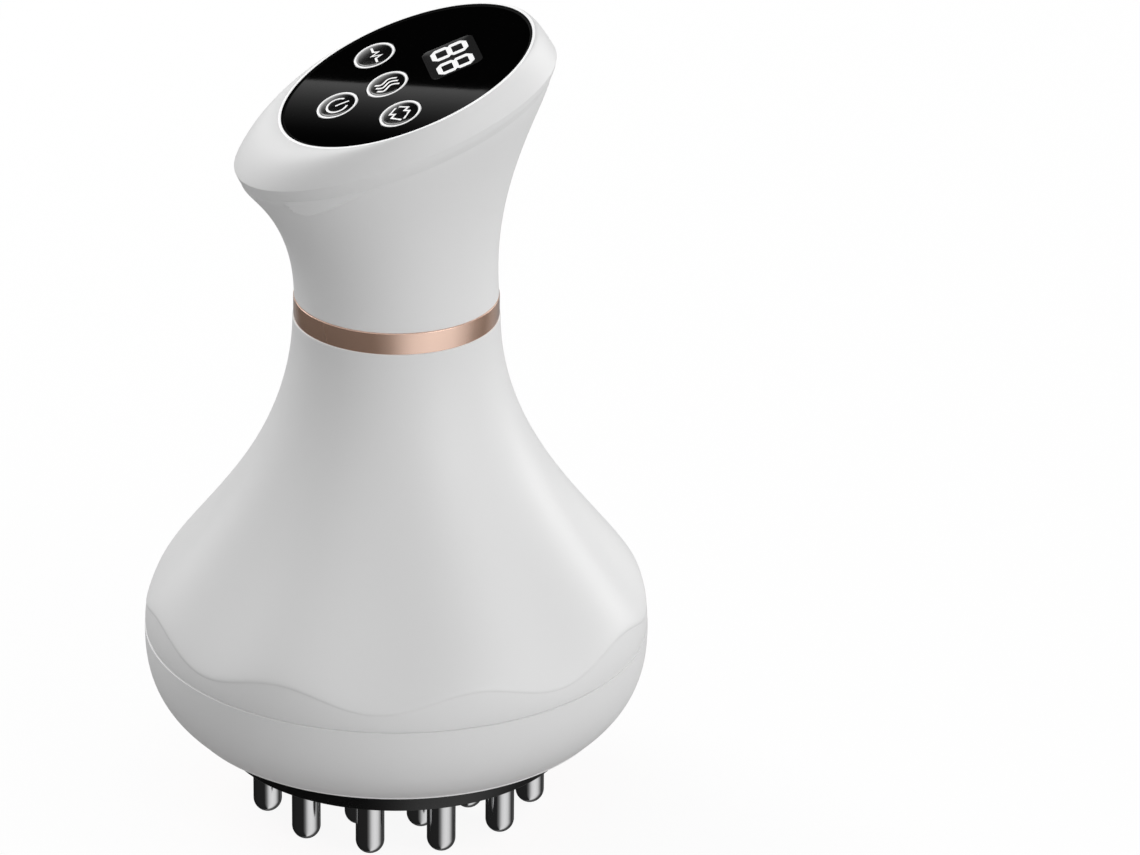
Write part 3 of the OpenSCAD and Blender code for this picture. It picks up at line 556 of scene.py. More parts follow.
@dataclass(frozen=True)
class FinishBook:
    """Every finish of the massager.

    Attributes:
        finishes: the finishes; most are named like the record's slot that they stand for.
    """

    finishes: tuple[Finish, ...] = (
        Finish("shell_white", (0.80, 0.80, 0.80), 0.48, tone=0.02, spread=0.06, scale=3200,
               bump=0.0016, subsurface=0.04),
        Finish("trim_rose", (0.84, 0.53, 0.385), 0.2, 0.62, Grain.TURNED, 0.1, 0.1, 5200, 0.001,
               coat=1.0, coat_ior=2.5, coat_rough=0.15),
        Finish("panel_black", (0.0012, 0.0012, 0.0012), 0.01, tone=0.1, spread=0.01, scale=600,
               bump=0.0, specular=0.35),
        Finish("edge_black", (0.001, 0.001, 0.001), 0.6, bump=0.0, specular=0.02),
        Finish("window_grey", (0.019, 0.019, 0.019), 0.06, tone=0.1, spread=0.03, bump=0.0,
               specular=0.3),
        # Glow 0.25 is painted light: it lifts the white signs, digits, light guides and panel bead
        # whiter than the lamps make them.
        Finish("print_white", (0.88, 0.88, 0.88), 0.3, tone=0.02, bump=0.001, glow=0.25),
        Finish("key_black", (0.004, 0.004, 0.004), 0.12, tone=0.2, spread=0.06, bump=0.0006),
        Finish("rim_black", (0.006, 0.006, 0.006), 0.28, tone=0.1, spread=0.1, bump=0.002,
               specular=0.35),
        Finish("light_red", (0.85, 0.07, 0.03), 0.35, tone=0.1, bump=0.004, glow=0.9,
               glow_colour=(1.0, 0.07, 0.02), subsurface=0.2),
        Finish("plate_mirror", (0.06, 0.06, 0.064), 0.06, 1.0, tone=0.06, spread=0.05, bump=0.0),
        Finish("probe_chrome", (0.66, 0.66, 0.665), 0.12, 1.0, tone=0.08, spread=0.06,
               scale=1800, bump=0.0006, edge_tint=0.1),
        Finish("steel", (0.55, 0.55, 0.56), 0.32, 1.0, Grain.TURNED, 0.12, 0.14, 6000, 0.002),
        Finish("heater_alu", (0.7, 0.71, 0.72), 0.38, 1.0, Grain.TURNED, 0.1, 0.12, 3000, 0.004),
        Finish("board_green", (0.016, 0.12, 0.045), 0.32, tone=0.3, spread=0.1, scale=900,
               bump=0.006, coat=0.3),
        Finish("part_black", (0.03, 0.03, 0.032), 0.5, tone=0.2, scale=1800, bump=0.006),
        Finish("frame_grey", (0.14, 0.145, 0.155), 0.55, tone=0.12, scale=1500, bump=0.01),
        Finish("gasket_rubber", (0.045, 0.045, 0.047), 0.75, tone=0.15, scale=2000, bump=0.008,
               sheen=0.2),
        Finish("weight_brass", (0.62, 0.42, 0.15), 0.3, 1.0, Grain.TURNED, 0.15, 0.15, 3500,
               0.004),
        Finish("cell_wrap", (0.03, 0.13, 0.33), 0.3, tone=0.1, spread=0.15, scale=300, bump=0.01,
               coat=0.3),
        Finish("lead_red", (0.42, 0.02, 0.015), 0.42, tone=0.1, scale=2600, bump=0.003),
    )

    def build(self) -> dict[str, bpy.types.Material]:
        """Builds the two surface groups and every material.

        Returns:
            The materials by name.
        """
        moulded_skin()
        turned_lines()
        return {f.name: f.build() for f in self.finishes}


@dataclass
class Workshop:
    """Makes pieces and dresses the construction's own solids.

    Attributes:
        materials: every material by its finish's name.
        made: how many pieces have been made.
    """

    materials: dict[str, bpy.types.Material]
    made: int = 0

    def piece(self, name: str, patches: list[Patch], finish: str, body: Body = Body.HOUSING,
              replaces: tuple[str, ...] = (),
              crease: float = 30.0) -> bpy.types.Object:
        """Puts closed patches into one mesh object and lets it ride on its body.

        Args:
            name: the object's name.
            patches: its surfaces, in millimetres in the model's axes.
            finish: name of its finish.
            body: the body it moves with.
            replaces: the construction's nodes it stands for.
            crease: edges that bend more than this many degrees stay sharp.

        Returns:
            The new object.
        """
        verts, faces, start = [], [], 0
        for patch in patches:
            v, quads, fans = patch.mesh()
            verts.append(v * MM)
            faces += (quads + start).tolist() + (fans + start).tolist()
            start += len(v)
        mesh = bpy.data.meshes.new(name)
        mesh.from_pydata(np.vstack(verts), [], faces)
        mesh.polygons.foreach_set("use_smooth", np.ones(len(faces), bool))
        mesh.set_sharp_from_angle(angle=math.radians(crease))
        mesh.materials.append(self.materials[finish])
        mesh.update()
        made = bpy.data.objects.new(name, mesh)
        bpy.context.scene.collection.objects.link(made)
        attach(made, body.value)
        if replaces:
            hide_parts(*replaces)
        self.made += 1
        log.info("%s: %d faces on %s", name, len(faces), body.value)
        return made

    def dress(self, node: str, finish: str) -> None:
        """Gives a construction solid its finish.

        Args:
            node: its node's name.
            finish: name of the finish.
        """
        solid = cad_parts[node]
        solid.data.materials.clear()
        solid.data.materials.append(self.materials[finish])
        log.info("%s: dressed in %s", node, finish)


# Head axes

@dataclass(frozen=True)
class Head:
    """The slanted head's own axes: across, up the slope, and out of the panel."""

    plan: Plan = PLAN

    def world(self, p: Array) -> Array:
        """Takes points from the head's axes to the model's.

        Args:
            p: points across, up the slope and out of the panel.

        Returns:
            The points turned by the slant about X, then moved to the panel's middle.
        """
        t = math.radians(self.plan.head_tilt)
        x, v, w = np.moveaxis(np.asarray(p, float), -1, 0)
        return np.stack([x, v * math.cos(t) - w * math.sin(t) + self.plan.panel_back,
                         v * math.sin(t) + w * math.cos(t) + self.plan.z_panel], -1)

    def lip(self, p: Array) -> Array:
        """Takes points from the lip's axes to the head's.

        Args:
            p: points across, along the lip and square to it.

        Returns:
            The points turned back by the lip's lean about X, then moved to the lip's middle.
        """
        t = math.radians(self.plan.lip_lean)
        x, v, w = np.moveaxis(np.asarray(p, float), -1, 0)
        return np.stack([x, v * math.cos(t) + w * math.sin(t) - self.plan.lip_front,
                         w * math.cos(t) - v * math.sin(t) - self.plan.lip_drop], -1)


HEAD = Head()


# Shells

@dataclass(frozen=True)
class LowerShell:
    """The white lower shell: a superellipse that is widest at the seam.

    Attributes:
        depth: how far under the seam the superellipse would close.
        power: its power, where an ellipse has 2.
        edge: height over the underside at which the skin starts.
        strip: height of the thin upright strip just under that.
        edge_curve: the lower edge's first control points, from the skin and the underside.
        seam_low: how far under the seam its bevel starts.
        seam_in: how far the bevel draws in.
        step_in: how far inside the body's radius the step for the bell's tongue stands.
        step_low: depth of that step.
        rim_gap: play round the rim.
        around: points round it.
    """

    plan: Plan = PLAN
    depth: float = 26.5
    power: float = 2.7
    edge: float = 1.5
    strip: float = 0.25
    edge_curve: tuple[tuple[float, float], ...] = ((-4.4, 0.0), (-3.2, 0.0), (-1.6, 0.35))
    seam_low: float = 0.2
    seam_in: float = 0.42
    step_in: float = 1.2
    step_low: float = 3.0
    rim_gap: float = 0.3
    around: int = 256

    def radius(self, z: Array) -> Array:
        """Outer radius: body radius times (1 - (drop / depth)^power)^(1 / power)."""
        drop = np.maximum(0, self.plan.z_seam - z) / self.depth
        return self.plan.body_r * (1 - drop ** self.power) ** (1 / self.power)

    def profile(self) -> Array:
        """The wall's outline.

        Returns:
            Its points as [radius, height]: the hole for the rim, a cubic curve out of the flat
            underside, a thin upright strip, the skin, the seam's bevel and step, and the inside.
        """
        p = self.plan
        z_skin = np.linspace(p.z_cup + self.edge, p.z_seam - self.seam_low, 40)
        z_in = np.linspace(p.z_seam - self.step_low, p.z_floor, 24)
        skin = np.stack([self.radius(z_skin), z_skin], -1)
        inner = np.stack([self.radius(z_in) - p.shell_t, z_in], -1)
        foot = self.radius(p.z_cup + self.edge)
        control = np.array([*self.edge_curve, (0, self.edge - self.strip)]) + [foot, p.z_cup]
        hole, step = p.rim_r + self.rim_gap, p.body_r - self.step_in
        return np.vstack([
            [[hole, p.z_floor], [hole, p.z_cup]], bezier(control, np.linspace(0, 1, 9)), skin,
            [[p.body_r - self.seam_in, p.z_seam], [step, p.z_seam],
             [step, p.z_seam - self.step_low]], inner])

    def build(self, shop: Workshop) -> None:
        """Builds the shell and its seal."""
        shop.piece("lower_shell", [Patch(lathe(self.profile(), self.around), loop=True)],
                   "shell_white", replaces=("base_cup",))
        shop.dress("rim_gasket", "gasket_rubber")


@dataclass(frozen=True)
class UpperShell:
    """The white bell: a round band up to the wave crease, then one sweep in to the neck.

    Attributes:
        dome: half height of the ellipse that the band follows.
        band_rows: rings of the band, the last of them on the crease.
        seam: width of the seam's gap.
        flare: how far the band is drawn in at the seam.
        flare_fade: the height over which that fades.
        tuck: how far the band is drawn in at the crease.
        step: how far the bell steps out over the crease.
        step_near: the height within which it has stepped out.
        step_fade: the height over which the step fades.
        soften: how far from the crease its rounding starts.
        belly: the sweep's second control point, inwards and up from its first.
        hang: how far under the neck the sweep's third control point lies.
        neck_bevel: bevel at the neck.
        inner_rise: height over the seam at which the inside's sweep starts.
        tongue: the tongue in the lower shell, from the body's radius and the seam.
        around: points round it.
    """

    plan: Plan = PLAN
    dome: float = 48.0
    band_rows: int = 12
    seam: float = 0.03
    flare: float = 0.22
    flare_fade: float = 1.2
    tuck: float = 0.2
    step: float = 0.1
    step_near: float = 0.4
    step_fade: float = 3.0
    soften: float = 1.2
    belly: tuple[float, float] = (3.5, 9.2)
    hang: float = 30.0
    neck_bevel: float = 0.15
    inner_rise: float = 3.4
    tongue: tuple[tuple[float, float], ...] = (
        (-2.4, 1.2), (-3.0, 1.2), (-3.0, -2.8), (-1.4, -2.8), (-1.4, 0.0), (-0.3, 0.0))
    around: int = 384

    def dome_radius(self, z: Array) -> Array:
        """Radius of the band: body radius times the square root of 1 - (rise / dome)^2."""
        return self.plan.body_r * np.sqrt(1 - ((z - self.plan.z_seam) / self.dome) ** 2)

    def crease(self, a: Array) -> Array:
        """Height of the wave crease: its mean plus a cosine with one wave to each eighth."""
        p = self.plan
        return p.z_seam + p.wave_z + p.wave_rise * np.cos(
            p.wave_n * (a - math.radians(p.base_turn)))

    def sweep(self, top: Array, end: float, t: Array) -> Array:
        """The bell's cubic curve in to the neck.

        Args:
            top: heights at which it leaves the band's ellipse.
            end: how far under the neck it ends.
            t: places along it, from 0 at the band.

        Returns:
            Its points: places, then radius and height, then one for each starting height.
        """
        p, edge = self.plan, self.dome_radius(top)
        neck = np.full_like(top, p.neck_r)
        return bezier(np.array([
            [edge, top], [edge - self.belly[0], top + self.belly[1]],
            [neck, np.full_like(top, p.z_neck - self.hang)],
            [neck, np.full_like(top, p.z_neck - end)]]), t)

    def outside(self) -> Array:
        """Rings of the outside, from the seam's bevel up to the neck.

        Returns:
            The rings, which lie closer together over the seam and over the crease. The band is
            drawn in by tuck * share^2 up to the crease, and by the flare at the seam, which fades
            by exp(-rise / flare_fade). Over the crease the tuck gives way to the step by
            exp(-rise / step_near), and the step fades by exp(-rise / step_fade).
        """
        a = turns(self.around)
        top = self.crease(a)
        low = self.plan.z_seam + self.seam
        share = np.linspace(0, 1, self.band_rows)[:, None] ** 1.3
        z_band = low + share * (top - low)
        r_band = self.dome_radius(z_band) - self.tuck * share ** 2
        r_band -= self.flare * np.exp((low - z_band) / self.flare_fade)
        curve = self.sweep(top, self.neck_bevel, np.linspace(0, 1, 96)[1:] ** 1.15)
        over = curve[:, 1] - top
        near = np.exp(-over / self.step_near)
        step = self.step * (1 - near) * np.exp(-over / self.step_fade)
        curve[:, 0] += step - self.tuck * near
        r = np.vstack([r_band, curve[:, 0]])
        z = np.vstack([z_band, curve[:, 1]])
        rings = np.stack([r * np.cos(a), r * np.sin(a), z], -1)
        cut = np.zeros(len(rings))
        cut[self.band_rows - 1] = self.soften
        return eased(rings, cut, 5, loop=False)

    def build(self, shop: Workshop) -> None:
        """Builds the bell with its tongue and hollow inside, as one closed wall.

        Args:
            shop: makes the pieces.
        """
        p = self.plan
        line = self.sweep(np.array(p.z_seam + self.inner_rise), 0, np.linspace(1, 0, 40))
        profile = np.vstack([[[p.neck_r - self.neck_bevel, p.z_neck]], line - [p.shell_t, 0],
                             np.array(self.tongue) + [p.body_r, p.z_seam]])
        rings = np.concatenate([self.outside(), lathe(profile, self.around)])
        shop.piece("upper_shell", [Patch(rings, loop=True)], "shell_white",
                   replaces=("bell_shell",), crease=35)


@dataclass(frozen=True)
class TrimRing:
    """The rose gold ring at the neck and the sleeve behind it.

    Attributes:
        inside: radius of its bore.
        inset: how far it stands back from the neck's skin.
        bevel: how much its two outer edges are rounded.
        around: points round it.
    """

    plan: Plan = PLAN
    inside: float = 19.1
    inset: float = 0.18
    bevel: float = 0.08
    around: int = 256

    def build(self, shop: Workshop) -> None:
        """Builds the ring with rounded edges and dresses the sleeve.

        Args:
            shop: makes the pieces.
        """
        p = self.plan
        r = p.neck_r - self.inset
        outline = [[self.inside, p.z_neck], [r, p.z_neck], [r, p.z_handle],
                   [self.inside, p.z_handle]]
        profile = eased(outline, [0, self.bevel, self.bevel, 0], 6)
        shop.piece("trim_ring_rose", [Patch(lathe(profile, self.around), loop=True)],
                   "trim_rose", replaces=("trim_ring",))
        shop.dress("neck_coupler", "frame_grey")


@dataclass(frozen=True)
class Port:
    """The charging opening at the back of the neck: a slot with round ends, seen along Y.

    Attributes:
        z: height of its middle.
        half_w: half its width.
        half_h: half its height, the radius of its ends.
    """

    z: float = 122.0
    half_w: float = 4.7
    half_h: float = 1.8

    def reach(self, x: Array, z: Array) -> Array:
        """Distance from the middle to the edge along the way to each [x, z] point.

        Args:
            x: places across.
            z: places up, from the opening's middle.

        Returns:
            The distance to the straight edge, or, beyond the end of that, to the circle round
            the end's middle: run c + sqrt(h^2 - (run s)^2).
        """
        far = np.maximum(np.hypot(x, z), 1e-9)
        c, s = np.abs(x) / far, np.abs(z) / far
        run = self.half_w - self.half_h
        straight = self.half_h / np.maximum(s, 1e-6)
        bend = run * c + np.sqrt(np.maximum(self.half_h ** 2 - (run * s) ** 2, 0))
        return np.where(straight * c <= run, straight, bend)


@dataclass(frozen=True)
class Handle:
    """The white handle: oval sections that widen and tilt up to the slant of the lip.

    Attributes:
        port: the charging opening in its back.
        foot_r: radius at the trim ring.
        bevel: bevel of that edge.
        waist_in: how far the sweep draws in over the foot.
        waist_up: the share of the height at which it does.
        sweep_top_in: how far it stays inside the band's size near the top.
        sweep_top: the share of the height at which it does.
        belly: four times the middle line's forward bow.
        tilt_power: the power of the share of the height by which the sections tilt.
        flat_ends: where the flat under the lip ends, degrees behind each side; less than 0 is
            in front of it.
        flat_deep: its greatest depth under the band.
        flat_out: how far it stands out there.
        flat_powers: powers of u and 1 - u in its lower edge.
        flat_peak: the greatest product of the two.
        flat_fade: how far under its lower edge it fades out.
        under_band: depth under the band for each share of the sweep left, and for its square.
        around: points round it.
        rows: rings of each face.
    """

    plan: Plan = PLAN
    port: Port = field(default_factory=Port)
    foot_r: float = 20.0
    bevel: float = 0.2
    waist_in: float = 0.9
    waist_up: float = 0.59
    sweep_top_in: float = 0.6
    sweep_top: float = 0.91
    belly: float = 1.45
    tilt_power: float = 0.8
    flat_ends: tuple[float, float] = (-53.0, -13.0)
    flat_deep: float = 3.2
    flat_out: float = 1.2
    flat_powers: tuple[float, float] = (0.75, 2.2)
    flat_peak: float = 0.188
    flat_fade: float = 0.4
    under_band: tuple[float, float] = (7.8, 23.0)
    around: int = 256
    rows: int = 140

    def flat(self, t: Array, a: Array) -> Array:
        """How far the small flat under the lip stands out of the sweep, on both sides.

        Args:
            t: places along the sweep.
            a: directions round the section.

        Returns:
            The height. It grows evenly with the depth under the band as far as the flat's lower
            edge, and fades under it. That edge is a skew arch: flat_deep times u and 1 - u to
            their powers, over the peak, where u runs from 0 to 1 between the flat's ends.
        """
        (front, back), (first, second) = self.flat_ends, self.flat_powers
        u = np.clip((np.degrees(np.arcsin(np.sin(a))) - front) / (back - front), 0, 1)
        edge = self.flat_deep * u ** first * (1 - u) ** second / self.flat_peak
        under = (1 - t) * (self.under_band[0] + self.under_band[1] * (1 - t))
        fade = np.clip((edge + self.flat_fade - under) / self.flat_fade, 0, 1) * (edge > 0)
        return self.flat_out / self.flat_deep * under * fade

    def steps(self) -> Array:
        """Places of the rows along the sweep: 1 - (1-u)^1.3, closer together near the band."""
        return 1 - (1 - np.linspace(0, 1, self.rows)) ** 1.3

    def face(self, t: Array, a: Array, inward: float) -> Array:
        """Points of the handle's skin.

        Args:
            t: places along the sweep, from 0 at the trim ring to 1 at the band.
            a: directions round the section, in radians.
            inward: how far inside the outer face.

        Returns:
            Points of oval sections. Half length and height follow a cubic curve, the half width
            grows by the same share, the tilt by the height's share to tilt_power, and the
            middle moves back by that share squared, less a small forward belly. The flat under
            the lip is added.
        """
        p = self.plan
        top_rx, top_rv = p.lip_rx - p.band_in, p.lip_rv - p.band_in
        top = HEAD.world(HEAD.lip(np.array([0, -p.band_front, -p.lip_band])))
        h = top[2] - p.z_handle
        line = bezier(np.array([
            [self.foot_r, p.z_handle],
            [self.foot_r - self.waist_in, p.z_handle + self.waist_up * h],
            [top_rv - self.sweep_top_in, p.z_handle + self.sweep_top * h],
            [top_rv, p.z_handle + h]]), t)
        s = (line[..., 1] - p.z_handle) / h
        wide = (line[..., 0] - self.foot_r) / (top_rv - self.foot_r)
        proud = self.flat(t, a) - inward
        rx = self.foot_r + (top_rx - self.foot_r) * wide + proud
        rv = line[..., 0] + proud
        tilt = math.radians(p.head_tilt - p.lip_lean) * np.maximum(0, s) ** self.tilt_power
        back = top[1] * s * s - self.belly * s * (1 - s)
        return np.stack([rx * np.cos(a), rv * np.sin(a) * np.cos(tilt) + back,
                         rv * np.sin(a) * np.sin(tilt) + line[..., 1]], -1)

    def block(self) -> tuple[int, int, int, int]:
        """The block of the grid that the port takes out.

        Returns:
            Its first and last row, then its first and last column.
        """
        mid = self.around // 4
        points = self.face(self.steps(), np.full(self.rows, np.pi / 2), 0.0)
        low, high = (int(np.argmin(np.abs(points[:, 2] - self.port.z - d)))
                     for d in (-self.port.half_h, self.port.half_h))
        side = round(math.asin(self.port.half_w / self.foot_r) / (2 * np.pi) * self.around)
        return low, high, mid - side, mid + side

    def wall(self, inward: float) -> Array:
        """Grid of one face of the wall, drawn in to the port's edge.

        Args:
            inward: how far inside the outer face.

        Returns:
            The grid. Round the block, each point moves along its ray from the port's middle so
            that the block's outline meets the port's edge; the move fades out at twice that size.
        """
        low, high, left, _ = self.block()
        t, a = np.meshgrid(self.steps(), turns(self.around), indexing="ij")
        flat = self.face(t, a, inward)
        x, z = flat[..., 0], flat[..., 2]
        mid = (z[low, self.around // 4] + z[high, self.around // 4]) / 2
        half_x = abs(x[(low + high) // 2, left])
        half_z = (z[high, self.around // 4] - z[low, self.around // 4]) / 2
        square = np.maximum(np.maximum(np.abs(x) / half_x, np.abs(z - mid) / half_z), 1e-6)
        grow = self.port.reach(x, z - mid) * square / np.maximum(np.hypot(x, z - mid), 1e-6)
        fade = np.clip(2 - square, 0, 1) * (flat[..., 1] > 0)
        move_x = fade * (grow - 1) * x
        move_z = fade * ((grow - 1) * (z - mid) + self.port.z - mid)
        steep_t = np.gradient(z, axis=0) / np.gradient(t, axis=0)
        steep_a = np.gradient(x, axis=1) * self.around / (2 * np.pi)
        near = fade > 0
        t = t + np.where(near, move_z / np.where(near, steep_t, 1), 0)
        a = a + np.where(near, move_x / np.where(near, steep_a, 1), 0)
        return self.face(t, a, inward)

    def build(self, shop: Workshop) -> None:
        """Builds the handle as one closed wall with the port's opening and a bevelled foot.

        Args:
            shop: makes the pieces.
        """
        low, high, left, right = self.block()
        n, cols = self.rows, self.around
        foot = self.face(np.zeros((1, cols)), turns(cols)[None], self.bevel)
        outer = self.wall(0.0)
        outer[0, :, 2] += self.bevel
        rows = np.concatenate([foot, outer, self.wall(self.plan.shell_t)[::-1]])
        cells = np.zeros((len(rows), cols), bool)
        cells[1 + low:1 + high, left:right] = True
        cells[2 * n - high:2 * n - low, left:right] = True
        j = np.concatenate([np.full(right - left, low), np.arange(low, high),
                            np.full(right - left, high), np.arange(high, low, -1)])
        i = np.concatenate([np.arange(left, right), np.full(high - low, right),
                            np.arange(right, left, -1), np.full(high - low, left)])
        outside, inside = (1 + j) * cols + i, (2 * n - j) * cols + i
        walls = np.stack([outside, np.roll(outside, -1), np.roll(inside, -1), inside], -1)
        shop.piece("handle_skin", [Patch(rows, True, dropped=cells, walls=walls)], "shell_white",
                   replaces=("handle_shell",), crease=40)


@dataclass(frozen=True)
class HeadFrame:
    """The white head frame: the band, the oval lip and the dome that rises to the panel.

    Attributes:
        rise: the power by which the dome rises from the lip.
        crown: how far the lip's edge stands up at its two sides.
        band_mid: the band's middle oval: its shares of the band's shift and height, and how far
            it lies inside the lip.
        band_round: how much the band's middle and the lip's edge are rounded.
        seat: the panel's seat, as places outside the panel's radius and heights.
        seat_round: how much the seat's two upper corners are rounded.
        wall: thickness of the side at the band's foot.
        hollow_top: height of the hollow's upper edge over the lip.
        bead: inner and outer radius of the white bead round the panel, a painted highlight.
        bead_rise: height of its foot and its top.
        bead_round: how much its top is rounded.
        around: points round it.
    """

    plan: Plan = PLAN
    rise: float = 1.9
    crown: float = 0.35
    band_mid: tuple[float, float, float] = (0.3, 0.4, 0.3)
    band_round: tuple[float, float] = (0.6, 0.14)
    seat: tuple[tuple[float, float], ...] = ((0.2, 0), (0.2, -2.25), (-4.0, -2.25), (-4.0, -4.05))
    seat_round: tuple[float, float] = (0.16, 0.12)
    wall: float = 3.5
    hollow_top: float = 0.6
    bead: tuple[float, float] = (25.84, 26.36)
    bead_rise: tuple[float, float] = (-0.1, 0.05)
    bead_round: float = 0.12
    around: int = 288

    def lip_ring(self, v: float, w: float, rx: float, rv: float) -> Array:
        """One oval of the lip's axes, in the head's axes."""
        a = turns(self.around)
        return HEAD.lip(np.stack([rx * np.cos(a), rv * np.sin(a) + v, w + 0 * a], -1))

    def dome(self, steps: int) -> Array:
        """Rings from the lip to the panel's edge.

        Args:
            steps: how many rings.

        Returns:
            Rings that go in by 1 - cos(a) and up by sin(a)^rise as a runs from 0 to 90 degrees,
            while the oval turns into the panel's circle and the lean fades out. At its two sides
            the lip's edge is crowned by cos^2 of the direction.
        """
        p, a = self.plan, turns(self.around)
        q = np.linspace(0, np.pi / 2, steps)[:, None]
        h, g = 1 - np.cos(q), np.sin(q) ** self.rise
        edge = p.lens_r + p.panel_edge
        rx, rv = p.lip_rx + (edge - p.lip_rx) * h, p.lip_rv + (edge - p.lip_rv) * h
        v = rv * np.sin(a)
        slope = (1 - g) * math.tan(math.radians(p.lip_lean))
        crown = self.crown * np.cos(a) ** 2 * (1 - g)
        return np.stack([rx * np.cos(a), v - p.lip_front * (1 - h),
                         crown - p.lip_drop * (1 - g) - slope * v], -1)

    def build(self, shop: Workshop) -> None:
        """Builds the frame as one closed wall round the panel's seat, and the bead.

        Args:
            shop: makes the pieces.
        """
        p = self.plan
        rx, rv = p.lip_rx - p.band_in, p.lip_rv - p.band_in
        shift, up, drawn = self.band_mid
        band = [self.lip_ring(-p.band_front, -p.lip_band, rx, rv),
                self.lip_ring(-p.band_front * shift, -p.lip_band * up, p.lip_rx - drawn,
                              p.lip_rv - drawn)]
        seat = lathe(np.array(self.seat) + [p.lens_r, 0], self.around)
        hollow = [self.lip_ring(-p.band_front, w, rx - self.wall, rv - self.wall)
                  for w in (self.hollow_top, -p.lip_band)]
        dome = self.dome(44)
        rows = np.concatenate([band, dome, seat, hollow])
        cut = np.zeros(len(rows))
        top = len(band) + len(dome)
        cut[[1, 2, top - 1, top]] = *self.band_round, *self.seat_round
        shop.piece("head_frame", [Patch(HEAD.world(eased(rows, cut, 5)), loop=True)],
                   "shell_white", replaces=("head_bezel",), crease=40)
        # The bead's glowing white is a painted highlight along the crest round the panel.
        (inner, outer), (foot, face) = self.bead, self.bead_rise
        bead = eased([[inner, foot], [inner, face], [outer, face], [outer, foot]],
                     [0, self.bead_round, self.bead_round, 0])
        shop.piece("panel_edge_highlight_bead", [Patch(HEAD.world(lathe(bead, self.around)), loop=True)],
                   "print_white")


# Panel and keys

@dataclass(frozen=True)
class Display:
    """The two-digit display: a dark grey window with white seven-stroke digits.

    Attributes:
        at: the window's middle, across and up the slope.
        half: its half width and half length.
        corner: radius of its corners.
        rim: the outlines of its edge, as places inside it and heights over the lens.
        around: points round it.
        digits_right: how far right of the window's middle the digits' middle lies.
        pitch: distance between the two digits.
        loop_v: half the distance between the two loops of a digit.
        outer: half width and half length of a loop.
        hole: the same of its hole.
        chamfer: the cut at a loop's corners.
        hole_chamfer: the cut at its hole's corners.
        foot: height of a loop's underside over the lens.
        top: height of its face.
        layer: how much higher the upper loop lies, as the two share a stroke.
        face: height of the lens.
    """

    at: tuple[float, float] = (0.32, 9.43)
    half: tuple[float, float] = (6.95, 5.3)
    corner: float = 1.6
    rim: tuple[tuple[float, float], ...] = ((0, -0.02), (0, 0.01), (0.08, 0.02))
    around: int = 96
    digits_right: float = 0.2
    pitch: float = 6.87
    loop_v: float = 1.615
    outer: tuple[float, float] = (2.62, 2.15)
    hole: tuple[float, float] = (1.42, 1.14)
    chamfer: tuple[float, float] = (1.25, 1.07)
    hole_chamfer: tuple[float, float] = (0.12, 0.12)
    foot: float = 0.01
    top: float = 0.05
    layer: float = 0.006
    face: float = PLAN.w_lens

    def window(self) -> Patch:
        """The window: a thin plate with round corners, just proud of the lens.

        Returns:
            A closed patch. Each outline runs round in the direction of the corners' circles,
            about middles that stand half the size less the radius from the window's middle.
        """
        a = turns(self.around)
        way = np.stack([np.cos(a), np.sin(a)], -1)
        middles = np.sign(way.round(9)) * (np.array(self.half) - self.corner) + self.at
        rows = [np.column_stack([middles + (self.corner - e) * way,
                                 np.full(len(a), self.face + w)]) for e, w in self.rim]
        return Patch(HEAD.world(np.array(rows)))

    def loop(self, x: float, v: float, lift: float) -> Patch:
        """One closed loop of a digit.

        Args:
            x: its middle across.
            v: its middle up the slope.
            lift: extra height, so that two loops that share a stroke don't lie in one plane.

        Returns:
            An eight-cornered ring round a hole, closed on all sides.
        """
        def octagon(hx: float, hv: float, cx: float, cv: float) -> Array:
            """Corners of a rectangle with cut corners, running round."""
            return np.array([[hx, -hv + cv], [hx, hv - cv], [hx - cx, hv], [cx - hx, hv],
                             [-hx, hv - cv], [-hx, cv - hv], [cx - hx, -hv], [hx - cx, -hv]])
        out = octagon(*self.outer, *self.chamfer)
        ins = octagon(*self.hole, *self.hole_chamfer)
        low, high = self.face + self.foot, self.face + self.top + lift
        rows = [(out, low), (out, high), (ins, high), (ins, low)]
        middle = np.array([x, v])
        return Patch(HEAD.world(np.array(
            [np.column_stack([o + middle, np.full(8, w)]) for o, w in rows])), loop=True)

    def build(self, shop: Workshop) -> None:
        """Builds the window and the digits.

        Args:
            shop: makes the pieces.
        """
        shop.piece("display_window", [self.window()], "window_grey")
        x0, v0 = self.at[0] + self.digits_right, self.at[1]
        loops = [self.loop(x0 + dx, v0 + dv, lift)
                 for dx in (-self.pitch / 2, self.pitch / 2)
                 for dv, lift in ((-self.loop_v, 0.0), (self.loop_v, self.layer))]
        shop.piece("display_digits", loops, "print_white", crease=20)
        shop.dress("display_module", "part_black")


